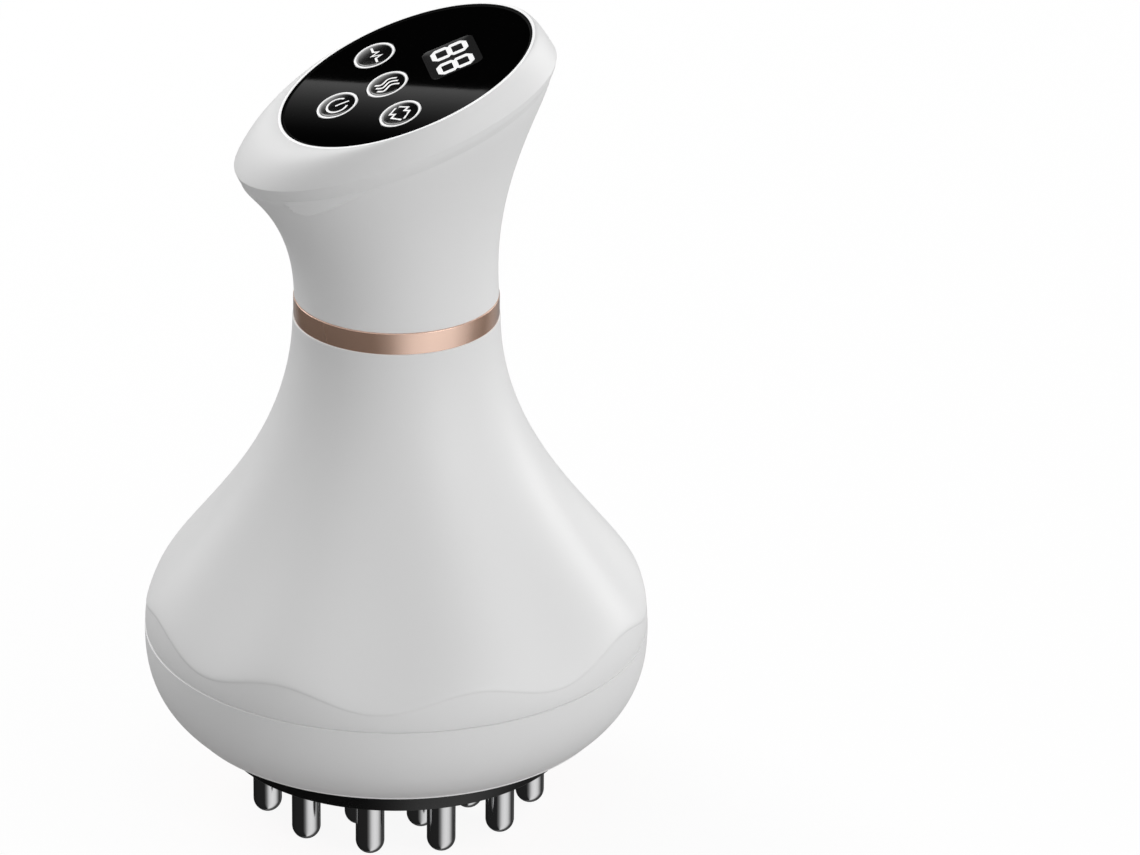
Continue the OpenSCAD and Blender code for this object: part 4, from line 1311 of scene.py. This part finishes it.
@dataclass(frozen=True)
class Key:
    """One push key: an oval domed cap with its sign, a flange and a stem.

    Attributes:
        node: its node in the construction.
        body: the body it moves with.
        icon: its sign.
        at: its middle, across and up the slope.
        top: height of the dome's middle.
        dome: how far the dome falls to its edge.
        play: gap to the light guide round it.
        edge_low: how far under the dome's edge the cap's upper corner lies.
        edge_round: how much that corner is rounded.
        flange: how far the flange stands out, and the heights of its root, top and underside.
        stem: radius of the stem and height of its end.
        stroke: width of the sign's strokes.
        print_h: how far they stand out of the cap.
    """

    node: str
    body: Body
    icon: Icon
    at: tuple[float, float]
    plan: Plan = PLAN
    top: float = -0.04
    dome: float = 0.22
    play: float = 0.2
    edge_low: float = 0.02
    edge_round: float = 0.2
    flange: tuple[float, float, float, float] = (0.85, -2.5, -2.55, -3.55)
    stem: tuple[float, float] = (1.6, -5.6)
    stroke: float = 0.48
    print_h: float = 0.03

    @property
    def half(self) -> tuple[float, float]:
        """Half width and half length of the cap."""
        p = self.plan
        return p.key_rx - p.key_ring_t - self.play, p.key_rv - p.key_ring_t - self.play

    def height(self, line: Array) -> Array:
        """Height of the cap's face at [x, v] points: a dome that falls with the oval radius."""
        rx, rv = self.half
        return self.top - self.dome * ((line[:, 0] / rx) ** 2 + (line[:, 1] / rv) ** 2)

    def cap(self) -> Patch:
        """The cap, flange and stem.

        Returns:
            One closed stack of ovals: the dome, whose height falls with the square of the share
            of its size, then the side, the flange and the round stem.
        """
        rx, rv = self.half
        out, root, high, low = self.flange
        stem_r, end = self.stem
        s = np.linspace(0.06, 0.94, 18)[:, None]
        face = np.hstack([rx * s, rv * s, self.top - self.dome * s * s])
        side = np.array([[rx, rv, self.top - self.dome - self.edge_low], [rx, rv, root],
                         [rx + out, rv + out, high], [rx + out, rv + out, low],
                         [stem_r, stem_r, low], [stem_r, stem_r, end]])
        rows = ovals(np.vstack([face, side]), 96)
        cut = np.zeros(len(rows))
        cut[len(face)] = self.edge_round
        rows = eased(rows, cut, 5, loop=False) + [*self.at, 0]
        return Patch(HEAD.world(rows), poles=(HEAD.world(np.array([*self.at, self.top])), None))

    def lines(self) -> list[Array]:
        """Middle lines of the sign's strokes, as [x, v] points from the key's middle.

        Returns:
            For power, an open arc and a bar; for the pulse, a zigzag; for heat, three waves by
            the cosine of a full turn for each length, longer over their upper bend; for the mode,
            a line and its mirrored copy, which cross at both ends.
        """
        if self.icon is Icon.POWER:
            a = np.radians(np.linspace(-143, 143, 60))
            return [np.stack([2.7 * np.sin(a) + 0.5, -2.12 * np.cos(a)], -1),
                    np.stack([np.full(8, 0.6), np.linspace(-0.4, 2.4, 8)], -1)]
        if self.icon is Icon.PULSE:
            return [np.array([[-3.4, 0], [-1.0, 0], [-0.3, 0.95], [0.6, -0.6], [1.5, 1.25],
                              [2.1, 0], [3.75, 0]])]
        if self.icon is Icon.WAVES:
            v = np.linspace(-2.3, 2.2, 50)
            x = -0.62 * np.cos(2 * np.pi * (v - 0.68) / np.where(v > 0.68, 5.6, 3.54))
            return [np.stack([x + x0, v], -1) for x0 in (-0.79, 0.67, 2.1)]
        half = np.array([[-2.7, 0.35], [-0.9, 1.9], [-0.05, 0.95], [0.85, 1.85], [3.15, 0.28]])
        return [half, half * [1, -1]]

    def build(self, shop: Workshop) -> None:
        """Builds the key's cap and its sign.

        Args:
            shop: makes the pieces.
        """
        shop.piece(f"{self.node}_cap", [self.cap()], "key_black", self.body, (self.node,))
        strokes = []
        for line in self.lines():
            low = self.height(line)
            patch = strip(line, self.stroke, low - self.print_h, low + self.print_h)
            strokes.append(Patch(HEAD.world(patch.points + [*self.at, 0])))
        shop.piece(f"{self.node}_sign", strokes, "print_white", self.body, crease=50)


@dataclass(frozen=True)
class ControlPanel:
    """The glossy black panel with its light guides, keys and display.

    Attributes:
        display: the display.
        keys: the keys.
        guide_lift: how far the light guides stand out of the panel.
        guide_in: how far they lie inside their holes, across and up the slope.
        guide_thin: how much thinner than their holes allow they are.
        guide_round: how much their top edges are rounded.
        edge: outline of the panel's raised edge, as radius and height.
        edge_round: how much each of its corners is rounded.
        around: points round the edge.
    """

    plan: Plan = PLAN
    display: Display = field(default_factory=Display)
    keys: tuple[Key, ...] = (
        Key("power_button", Body.POWER, Icon.POWER, (0.0, -14.5)),
        Key("pulse_button", Body.PULSE, Icon.PULSE, (-15.2, -4.1)),
        Key("heat_button", Body.HEAT, Icon.WAVES, (0.0, -4.1)),
        Key("mode_button", Body.MODE, Icon.LOOP, (15.2, -4.1)),
    )
    guide_lift: float = 0.04
    guide_in: tuple[float, float] = (0.08, 0.15)
    guide_thin: float = 0.05
    guide_round: float = 0.16
    edge: tuple[tuple[float, float], ...] = (
        (25.2, -0.3), (25.2, -0.24), (25.55, -0.2), (25.74, 0.0), (25.78, 0.0), (25.78, -0.3))
    edge_round: tuple[float, ...] = (0, 0.1, 0.15, 0.02, 0.02, 0)
    around: int = 288

    def guide(self, at: tuple[float, float]) -> Patch:
        """One white light guide.

        Args:
            at: its key's middle, across and up the slope.

        Returns:
            A closed oval tube with rounded top edges.
        """
        p = self.plan
        low, top = p.w_lens - p.lens_t, p.w_lens + self.guide_lift
        rx, rv = p.key_rx - self.guide_in[0], p.key_rv - self.guide_in[1]
        t = p.key_ring_t - self.guide_thin
        table = [[rx, rv, low], [rx, rv, top], [rx - t, rv - t, top], [rx - t, rv - t, low]]
        rows = eased(ovals(table, 120), [0, self.guide_round, self.guide_round, 0], 5)
        return Patch(HEAD.world(rows + [*at, 0]), loop=True)

    def build(self, shop: Workshop) -> None:
        """Builds the panel's pieces and dresses the board behind it.

        Args:
            shop: makes the pieces.
        """
        shop.dress("panel_lens", "panel_black")
        edge = lathe(eased(self.edge, self.edge_round), self.around)
        shop.piece("panel_lens_edge", [Patch(HEAD.world(edge), loop=True)], "edge_black")
        shop.piece("key_light_guides", [self.guide(k.at) for k in self.keys], "print_white",
                   replaces=("key_rings",))
        for key in self.keys:
            key.build(shop)
        self.display.build(shop)
        for node, finish in (("panel_board", "board_green"), ("tact_switches", "part_black"),
                             ("board_screws", "steel")):
            shop.dress(node, finish)


# Probe stack

@dataclass(frozen=True)
class ProbeStack:
    """Everything under the lower shell: rim, light ring, plate, probes and small lights.

    Attributes:
        shank: height at which a probe thins for the plate's hole.
        collar: height of the underside of its collar.
        heater: height of the heater plate's underside, which the collar meets.
        stud: height of the top of its stud.
        stud_r: radius of the stud.
        shank_in: how much a probe thins in the plate's hole.
        collar_out: how far its collar stands out.
        rim_t: wall of the rim.
        taper: how far the rim draws in at its lower edge, and the height of that.
        rim_round: how much the rim's three lower corners are rounded.
        flange: how far the rim's flange stands out, and the heights of its two faces.
        shelf: height of the underside of the shelf that takes the heater plate.
        bore: inner radius over that shelf.
        light: inner radius of the light ring and the shelf, and outer radius of the ring.
        light_z: height of its bead's middle.
        light_h: how far the bead bulges down.
        led_r: radius of a small light.
        led_rise: heights of its dome's middle and its top over the plate's face.
        outer: number of outer probes and their turn past the base turn.
        middle: the same of the middle probes.
        leds: for the two circles of small lights, their number, how far outside the outer
            probes' circle or the centre probe they stand, and their turn.
        around: points round the rings.
    """

    plan: Plan = PLAN
    shank: float = 13.9
    collar: float = 18.0
    heater: float = 19.6
    stud: float = 25.4
    stud_r: float = 1.5
    shank_in: float = 0.15
    collar_out: float = 1.05
    rim_t: float = 1.4
    taper: tuple[float, float] = (0.9, 4.0)
    rim_round: tuple[float, float, float] = (0.2, 0.4, 0.6)
    flange: tuple[float, float, float] = (4.4, 22.6, 24.8)
    shelf: float = 17.6
    bore: float = 34.2
    light: tuple[float, float] = (31.5, 34.3)
    light_z: float = 15.0
    light_h: float = 1.1
    led_r: float = 1.2
    led_rise: tuple[float, float] = (0.5, 2.0)
    outer: tuple[int, float] = (12, 1.0)
    middle: tuple[int, float] = (8, -0.5)
    leds: tuple[tuple[int, float, float], ...] = ((6, 1.8, 16.0), (5, 5.5, 0.0))
    around: int = 256

    def probe(self, r: float, low: float) -> Array:
        """One probe standing on the axis.

        Args:
            r: its radius.
            low: height of its tip.

        Returns:
            Rings of a half-round tip, a shank, a collar and a stud.
        """
        a = np.radians(np.linspace(3, 90, 22))
        tip = np.stack([r * np.sin(a), low + r - r * np.cos(a)], -1)
        z = np.linspace(low + r, self.shank, 6)[1:, None]
        shank = np.hstack([np.full_like(z, r), z])
        thin, wide = r - self.shank_in, r + self.collar_out
        rest = np.array([[thin, self.shank], [thin, self.collar], [wide, self.collar],
                         [wide, self.heater], [self.stud_r, self.heater],
                         [self.stud_r, self.stud]])
        return lathe(np.vstack([tip, shank, rest]), 56)

    def probes(self, r: float, low: float, places: Array) -> list[Patch]:
        """One closed probe at each place, its tip at the given height."""
        return [Patch(rows, poles=(np.array([q[0], q[1], low]), None))
                for rows, q in zip(placed(self.probe(r, low), places), places)]

    def rim(self) -> Patch:
        """The black rim: its wall, the shelf for the heater plate and the flange in the shell.

        Returns:
            The closed ring.
        """
        r, foot, inner = self.plan.rim_r, self.plan.z_rim, self.plan.rim_r - self.rim_t
        (drawn, up), (out, low, high), lip = self.taper, self.flange, self.light[0]
        outline = [[inner, foot], [r - drawn, foot], [r, foot + up], [r, low], [r + out, low],
                   [r + out, high], [self.bore, high], [self.bore, self.heater],
                   [lip, self.heater], [lip, self.shelf], [inner, self.shelf]]
        cut = np.zeros(len(outline))
        cut[:3] = self.rim_round
        return Patch(lathe(eased(outline, cut, 7), self.around), loop=True)

    def light_ring(self) -> Patch:
        """The light guide, which hangs under the rim's shelf.

        Returns:
            A closed ring, whose lower face bulges by half an ellipse.
        """
        a = np.linspace(np.pi, 2 * np.pi, 15)
        inner, outer = self.light
        bead = np.stack([(outer + inner) / 2 + (outer - inner) / 2 * np.cos(a),
                         self.light_z + self.light_h * np.sin(a)], -1)
        outline = np.vstack([bead, [[outer, self.shelf], [inner, self.shelf]]])
        return Patch(lathe(outline, self.around), loop=True)

    def leds_at(self, places: Array) -> list[Patch]:
        """The small domed lights.

        Args:
            places: where they stand.

        Returns:
            One closed patch for each, a half-sphere under a short cylinder.
        """
        a = np.radians(np.linspace(6, 90, 10))
        middle, top = (self.plan.z_plate + up for up in self.led_rise)
        dome = np.stack([self.led_r * np.sin(a), middle - self.led_r * np.cos(a)], -1)
        rows = lathe(np.vstack([dome, [[self.led_r, top]]]), 24)
        return [Patch(q, poles=(np.array([c[0], c[1], middle - self.led_r]), None))
                for q, c in zip(placed(rows, places), places)]

    def build(self, shop: Workshop) -> None:
        """Builds the rim, light ring, probes and lights, and dresses what lies above them.

        Args:
            shop: makes the pieces.
        """
        p = self.plan
        shop.piece("rim_band", [self.rim()], "rim_black", replaces=("base_rim",))
        shop.piece("light_guide", [self.light_ring()], "light_red", replaces=("light_ring",))
        outer, middle = (
            circle_places(count, radius, p.base_turn + turn)
            for (count, turn), radius in ((self.outer, p.outer_pr), (self.middle, p.middle_pr)))
        for name, node, r, low, places in (
                ("probes_outer", "outer_probes", p.probe_r, 0.0, outer),
                ("probes_middle", "middle_probes", p.probe_r, 0.0, middle),
                ("probe_centre", "centre_probe", p.centre_r, p.centre_low, np.zeros((1, 3)))):
            shop.piece(name, self.probes(r, low, places), "probe_chrome", replaces=(node,))
        lights = np.vstack([
            circle_places(count, start + out, p.base_turn + turn)
            for start, (count, out, turn) in zip((p.outer_pr, p.centre_r), self.leds)])
        shop.piece("small_lights", self.leds_at(lights), "light_red", replaces=("red_leds",))
        for node, finish in (("probe_plate", "plate_mirror"), ("led_board", "board_green"),
                             ("heater_plate", "heater_alu"), ("probe_nuts", "steel"),
                             ("heater_screws", "steel"), ("rim_screws", "steel")):
            shop.dress(node, finish)


@dataclass(frozen=True)
class Internals:
    """The motor, cell, frame and boards inside, which keep their own solids.

    Attributes:
        finishes: each node and its finish.
    """

    finishes: tuple[tuple[str, str], ...] = (
        ("shell_screws", "steel"), ("inner_frame", "frame_grey"), ("motor_body", "steel"),
        ("motor_shaft", "steel"), ("motor_weight", "weight_brass"), ("motor_cap", "part_black"),
        ("cap_screws", "steel"), ("battery_cell", "cell_wrap"), ("battery_sleeve", "part_black"),
        ("battery_cap", "part_black"), ("power_board", "board_green"),
        ("power_board_parts", "part_black"), ("charge_board", "board_green"),
        ("charge_socket", "steel"), ("wire_loom", "lead_red"),
    )

    def build(self, shop: Workshop) -> None:
        """Dresses each solid."""
        for node, finish in self.finishes:
            shop.dress(node, finish)


# Studio

def heading(azimuth: float, elevation: float) -> Vector:
    """The direction that many degrees round from the front and up from the floor."""
    a, e = math.radians(azimuth), math.radians(elevation)
    return Vector((math.sin(a) * math.cos(e), -math.cos(a) * math.cos(e), math.sin(e)))


@dataclass(frozen=True)
class Lamp:
    """One soft area lamp, aimed at the massager.

    Attributes:
        name: its name.
        azimuth: where it stands, degrees round from the front.
        elevation: degrees above the point it is aimed at.
        distance: metres from that point.
        size: width and height in metres.
        radiance: how bright its face is; 1 is the white of the backdrop.
        aim_z: height of the point on the massager's axis that it is aimed at, in metres.
    """

    name: str
    azimuth: float
    elevation: float
    distance: float
    size: tuple[float, float]
    radiance: float
    aim_z: float = 0.08

    def build(self) -> None:
        """Makes the lamp; its power is pi times its area times its radiance."""
        data = bpy.data.lights.new(self.name, "AREA")
        data.shape = "RECTANGLE"
        data.size, data.size_y = self.size
        data.energy = math.pi * self.size[0] * self.size[1] * self.radiance
        lamp = bpy.data.objects.new(self.name, data)
        way = heading(self.azimuth, self.elevation)
        lamp.location = Vector((0, 0, self.aim_z)) + way * self.distance
        lamp.rotation_euler = way.to_track_quat("Z", "Y").to_euler()
        lamp.visible_camera = False
        bpy.context.scene.collection.objects.link(lamp)


@dataclass(frozen=True)
class Camera:
    """The camera at the photograph's viewing angle, fitted to the object's circles.

    Attributes:
        azimuth: where it stands, degrees round from the front.
        elevation: degrees above the target.
        distance: metres from the target.
        target_z: the target's height on the massager's axis, in metres.
        focal_px: focal length in the photograph's pixels.
        width_px: the photograph's width.
        beside_px: how far left of the picture's middle the target appears.
        sensor: width of the film, in millimetres.
        clip: the nearest and farthest distance shown, in metres.
    """

    azimuth: float = 80.57
    elevation: float = 24.68
    distance: float = 1.3438
    target_z: float = 0.07999
    focal_px: float = 6838.2
    width_px: float = 1140.0
    beside_px: float = 173.5
    sensor: float = 36.0
    clip: tuple[float, float] = (0.05, 20.0)

    def place(self) -> Vector:
        """Where the camera stands."""
        way = heading(self.azimuth, self.elevation)
        return Vector((0, 0, self.target_z)) + way * self.distance

    def build(self) -> None:
        """Makes the camera: it looks at the target, then turns right until the target stands
        beside_px left of the picture's middle."""
        data = bpy.data.cameras.new("camera")
        data.sensor_width = self.sensor
        data.lens = self.focal_px / self.width_px * self.sensor
        data.clip_start, data.clip_end = self.clip
        ahead = (Vector((0, 0, self.target_z)) - self.place()).normalized()
        right = ahead.cross(Vector((0, 0, 1))).normalized()
        up = right.cross(ahead)
        turn = math.atan(self.beside_px / self.focal_px)
        look = ahead * math.cos(turn) + right * math.sin(turn)
        side = right * math.cos(turn) - ahead * math.sin(turn)
        camera = bpy.data.objects.new("camera", data)
        axes = Matrix((side, up, -look)).transposed().to_4x4()
        camera.matrix_world = Matrix.Translation(self.place()) @ axes
        bpy.context.scene.collection.objects.link(camera)
        bpy.context.scene.camera = camera


@dataclass(frozen=True)
class Glare:
    """The soft band of light on the flat panel: brightest along one line, fading to one side.

    Attributes:
        start: one end of the line, across and up the slope from the panel's middle.
        end: its other end; the band fades to the right of the way from start to end.
        width: how far it takes to fade out.
        level: its brightness at the line, where 1 is white.
        fade: the power of the share left, 1 - distance / width, by which it fades.
        near: degrees from the panel's own reflection within which it shines.
        lower_left: slopes across and up of a face that leans to the panel's lower left.
    """

    start: tuple[float, float] = (-17.9, -18.7)
    end: tuple[float, float] = (21.5, 12.9)
    width: float = 22.0
    level: float = 0.65
    fade: float = 2.8
    near: float = 2.5
    lower_left: tuple[float, float] = (-0.03, -0.1)

    def lean(self, eye: Array) -> Array:
        """Which way the reflection moves when the panel's face leans to its lower left.

        Args:
            eye: the camera's place in millimetres.

        Returns:
            The change of the mirrored ray, e - 2 (e . n) n, made square to the flat panel's own.
        """
        mid, tip, low = HEAD.world(np.array([[0, 0, 0], [0, 0, 1], [*self.lower_left, 1]]))
        ray = (mid - eye) / np.linalg.norm(mid - eye)
        flat, tilted = (ray - 2 * (ray @ n) * n for n in (
            (q - mid) / np.linalg.norm(q - mid) for q in (tip, low)))
        move = tilted - flat * (tilted @ flat)
        return move / np.linalg.norm(move)

    def measure(self, eye: Array) -> tuple[Array, Array, float]:
        """Where the band lies among the directions that the panel reflects.

        Args:
            eye: the camera's place in millimetres.

        Returns:
            The band's middle direction, a direction square to the plane through its line, and
            the share of that at which it has faded out. The plane also holds the camera's image
            behind the panel, e - 2 ((e - m) . u) u, with m a point and u the normal of the panel.
        """
        w = PLAN.w_lens
        mid, tip = HEAD.world(np.array([[0, 0, w], [0, 0, w + 1]]))
        image = eye - 2 * ((eye - mid) @ (tip - mid)) * (tip - mid)
        a, b = np.array(self.start), np.array(self.end)
        right = np.array([b[1] - a[1], a[0] - b[0]]) / np.linalg.norm(b - a)
        spots = np.array([a, b, a + right * self.width])
        rays = HEAD.world(np.column_stack([spots, np.full(3, w)])) - image
        rays /= np.linalg.norm(rays, axis=1, keepdims=True)
        across = np.cross(rays[1], rays[0])
        across /= np.linalg.norm(across)
        across *= np.sign(rays[2] @ across)
        middle = mid - image
        return middle / np.linalg.norm(middle), across, float(rays[2] @ across)


@dataclass(frozen=True)
class Surround:
    """What polished faces reflect: a white room with a round dark flag, and greys below it.

    Attributes:
        key_light: brightness of the patch that only the key caps' lower left mirrors.
        key_lean: degrees of lean of the reflection at which it starts and is full.
        key_near: degrees from the panel's own reflection between which it shines.
        below: grey by azimuth under the horizon, as (degrees, grey) in order.
        horizon: heights, of a direction of length 1, between which that grey fades out.
        flag: azimuth and elevation of the middle of the round dark flag behind the panel.
        flag_size: degrees from its middle at which it starts and ends to fade.
        glare: the light band in the flag.
    """

    key_light: float = 1.3
    key_lean: tuple[float, float] = (3.0, 12.0)
    key_near: tuple[float, float] = (4.5, 17.0)
    below: tuple[tuple[float, float], ...] = (
        (0, 0.02), (57, 0.02), (74, 0.2), (87, 0.58), (99, 0.86), (121, 1.0), (146, 0.88),
        (162, 0.54), (178, 0.15), (196, 0.02), (214, 0.22), (285, 0.22), (305, 0.02), (360, 0.02))
    horizon: tuple[float, float] = (-0.05, 0.0)
    flag: tuple[float, float] = (255.0, 55.0)
    flag_size: tuple[float, float] = (38.5, 49.0)
    glare: Glare = field(default_factory=Glare)

    def paint(self, n: Nodes, eye: Array) -> object:
        """Adds the nodes that turn a direction into the surround's grey.

        Args:
            n: the world's nodes.
            eye: the camera's place in millimetres.

        Returns:
            The socket with the grey: over the horizon, white outside the flag, plus the glare's
            band and the key caps' patch; under it, the grey by azimuth.
        """
        way = n.add("ShaderNodeTexCoord").outputs["Generated"]
        x, y, z = n.add("ShaderNodeSeparateXYZ", {0: way}).outputs
        turn = n.math("ARCTAN2", x, n.math("MULTIPLY", y, -1.0))
        turn = n.math("FRACT", n.math("ADD", n.math("DIVIDE", turn, 2 * math.pi), 1.0))
        ramp = n.add("ShaderNodeValToRGB", {"Fac": turn})
        stops = ramp.color_ramp.elements
        while len(stops) < len(self.below):
            stops.new(0.5)
        for stop, (degrees, grey) in zip(stops, self.below):
            stop.position = degrees / 360
            stop.color = (grey, grey, grey, 1.0)
        middle, across, width = self.glare.measure(eye)
        off, near = n.along(way, across), n.along(way, middle)
        shine, inner, outer, start, end = (
            math.cos(math.radians(d)) for d in (self.glare.near, *self.key_near, *self.flag_size))
        room = n.between(n.along(way, heading(*self.flag)), start, end, smooth=True)
        left = n.math("POWER", n.between(off, width, 0.0), self.glare.fade)
        band = n.math("MULTIPLY", n.math("MULTIPLY", left, self.glare.level),
                      n.math("GREATER_THAN", off, 0.0))
        band = n.math("MULTIPLY", band, n.math("GREATER_THAN", near, shine))
        first, full = (math.sin(math.radians(d)) for d in self.key_lean)
        keys = n.between(n.along(way, self.glare.lean(eye)), first, full, self.key_light, True)
        keys = n.math("MULTIPLY", keys, n.math("GREATER_THAN", near, outer))
        keys = n.math("MULTIPLY", keys, n.math("LESS_THAN", near, inner))
        over = n.math("ADD", room, n.math("ADD", band, keys))
        return n.add("ShaderNodeMix", {0: n.between(z, *self.horizon), 2: ramp.outputs[0],
                                       3: over}, data_type="FLOAT").outputs[0]


@dataclass(frozen=True)
class Studio:
    """A pale floor and world, soft lamps and the camera.

    Attributes:
        ambient: strength of the world's soft light.
        floor_colour: grey of the floor in the light that it sends back.
        floor_lift: share of plain white in the floor as the camera sees it.
        floor_r: inner and outer radius of the floor's disc.
        floor_z: its height, just under the probe tips.
        floor_cuts: how many sides it has.
        surround: what polished faces reflect.
        camera: the camera.
        lamps: the lamps.
    """

    ambient: float = 0.54
    floor_colour: float = 0.5
    floor_lift: float = 0.92
    floor_r: tuple[float, float] = (0.02, 2500.0)
    floor_z: float = -0.01
    floor_cuts: int = 96
    surround: Surround = field(default_factory=Surround)
    camera: Camera = field(default_factory=Camera)
    lamps: tuple[Lamp, ...] = (
        Lamp("right", 130, 10, 1.6, (0.9, 0.9), 3.76),
        Lamp("behind", 205, 10, 1.6, (0.9, 0.9), 2.91),
        Lamp("above_left", 305, 38, 1.6, (0.9, 0.9), 4.22),
    )

    def world(self) -> None:
        """White for camera and transmission rays, the surround for glossy rays, and a soft light
        for the rest."""
        world = bpy.data.worlds.new("studio")
        world.use_nodes = True
        n = Nodes(world.node_tree)
        path = n.add("ShaderNodeLightPath").outputs
        seen = n.math("MAXIMUM", path["Is Camera Ray"], path["Is Transmission Ray"])
        grey = self.surround.paint(n, np.array(self.camera.place()) / MM)
        soft, shiny, white = (
            n.add("ShaderNodeBackground", {"Color": colour, "Strength": strength})
            for colour, strength in ((WHITE, self.ambient), (grey, 1.0), (WHITE, 1.0)))
        lit = n.mix(path["Is Glossy Ray"], soft, shiny)
        n.add("ShaderNodeOutputWorld", {"Surface": n.mix(seen, lit, white).outputs[0]})
        bpy.context.scene.world = world

    def floor(self) -> None:
        """A wide pale disc that keeps the shadow, is lifted to white for the camera and can be
        seen through from below."""
        mesh = bpy.data.meshes.new("floor")
        sides = self.floor_cuts
        rows = lathe(np.array([[r, self.floor_z] for r in self.floor_r]), sides)
        near = np.arange(sides)
        over = np.roll(near, -1)
        faces = [near.tolist()] + np.stack([near, sides + near, sides + over, over], -1).tolist()
        mesh.from_pydata(rows.reshape(-1, 3) * MM, [], faces)
        floor = bpy.data.objects.new("floor", mesh)
        bpy.context.scene.collection.objects.link(floor)
        floor.visible_glossy = False
        paint = bpy.data.materials.new("floor_white")
        paint.use_nodes = True
        n = Nodes(paint.node_tree)
        bounce = n.add("ShaderNodeBsdfDiffuse", {"Color": (*[self.floor_colour] * 3, 1.0)})
        pale = n.add("ShaderNodeBsdfDiffuse", {"Color": WHITE})
        white = n.add("ShaderNodeEmission", {"Strength": 1.0})
        camera_ray = n.add("ShaderNodeLightPath").outputs["Is Camera Ray"]
        top = n.mix(camera_ray, bounce, n.mix(self.floor_lift, pale, white))
        both = n.mix(n.add("ShaderNodeNewGeometry").outputs["Backfacing"], top,
                     n.add("ShaderNodeBsdfTransparent"))
        n.add("ShaderNodeOutputMaterial", {"Surface": both.outputs[0]})
        mesh.materials.append(paint)

    def build(self) -> None:
        """Sets up the studio and how its light is shown."""
        self.world()
        self.floor()
        for lamp in self.lamps:
            lamp.build()
        self.camera.build()
        bpy.context.scene.view_settings.view_transform = "Standard"


def main() -> None:
    """Builds every sub-assembly in order, then the studio."""
    logging.basicConfig(level=logging.INFO, format="%(name)s: %(message)s")
    shop = Workshop(FinishBook().build())
    for part in (LowerShell(), UpperShell(), TrimRing(), Handle(), HeadFrame(), ControlPanel(),
                 ProbeStack(), Internals()):
        part.build(shop)
        log.info("%s done", type(part).__name__)
    Studio().build()
    log.info("%d pieces made", shop.made)


if __name__ == "__main__":
    main()
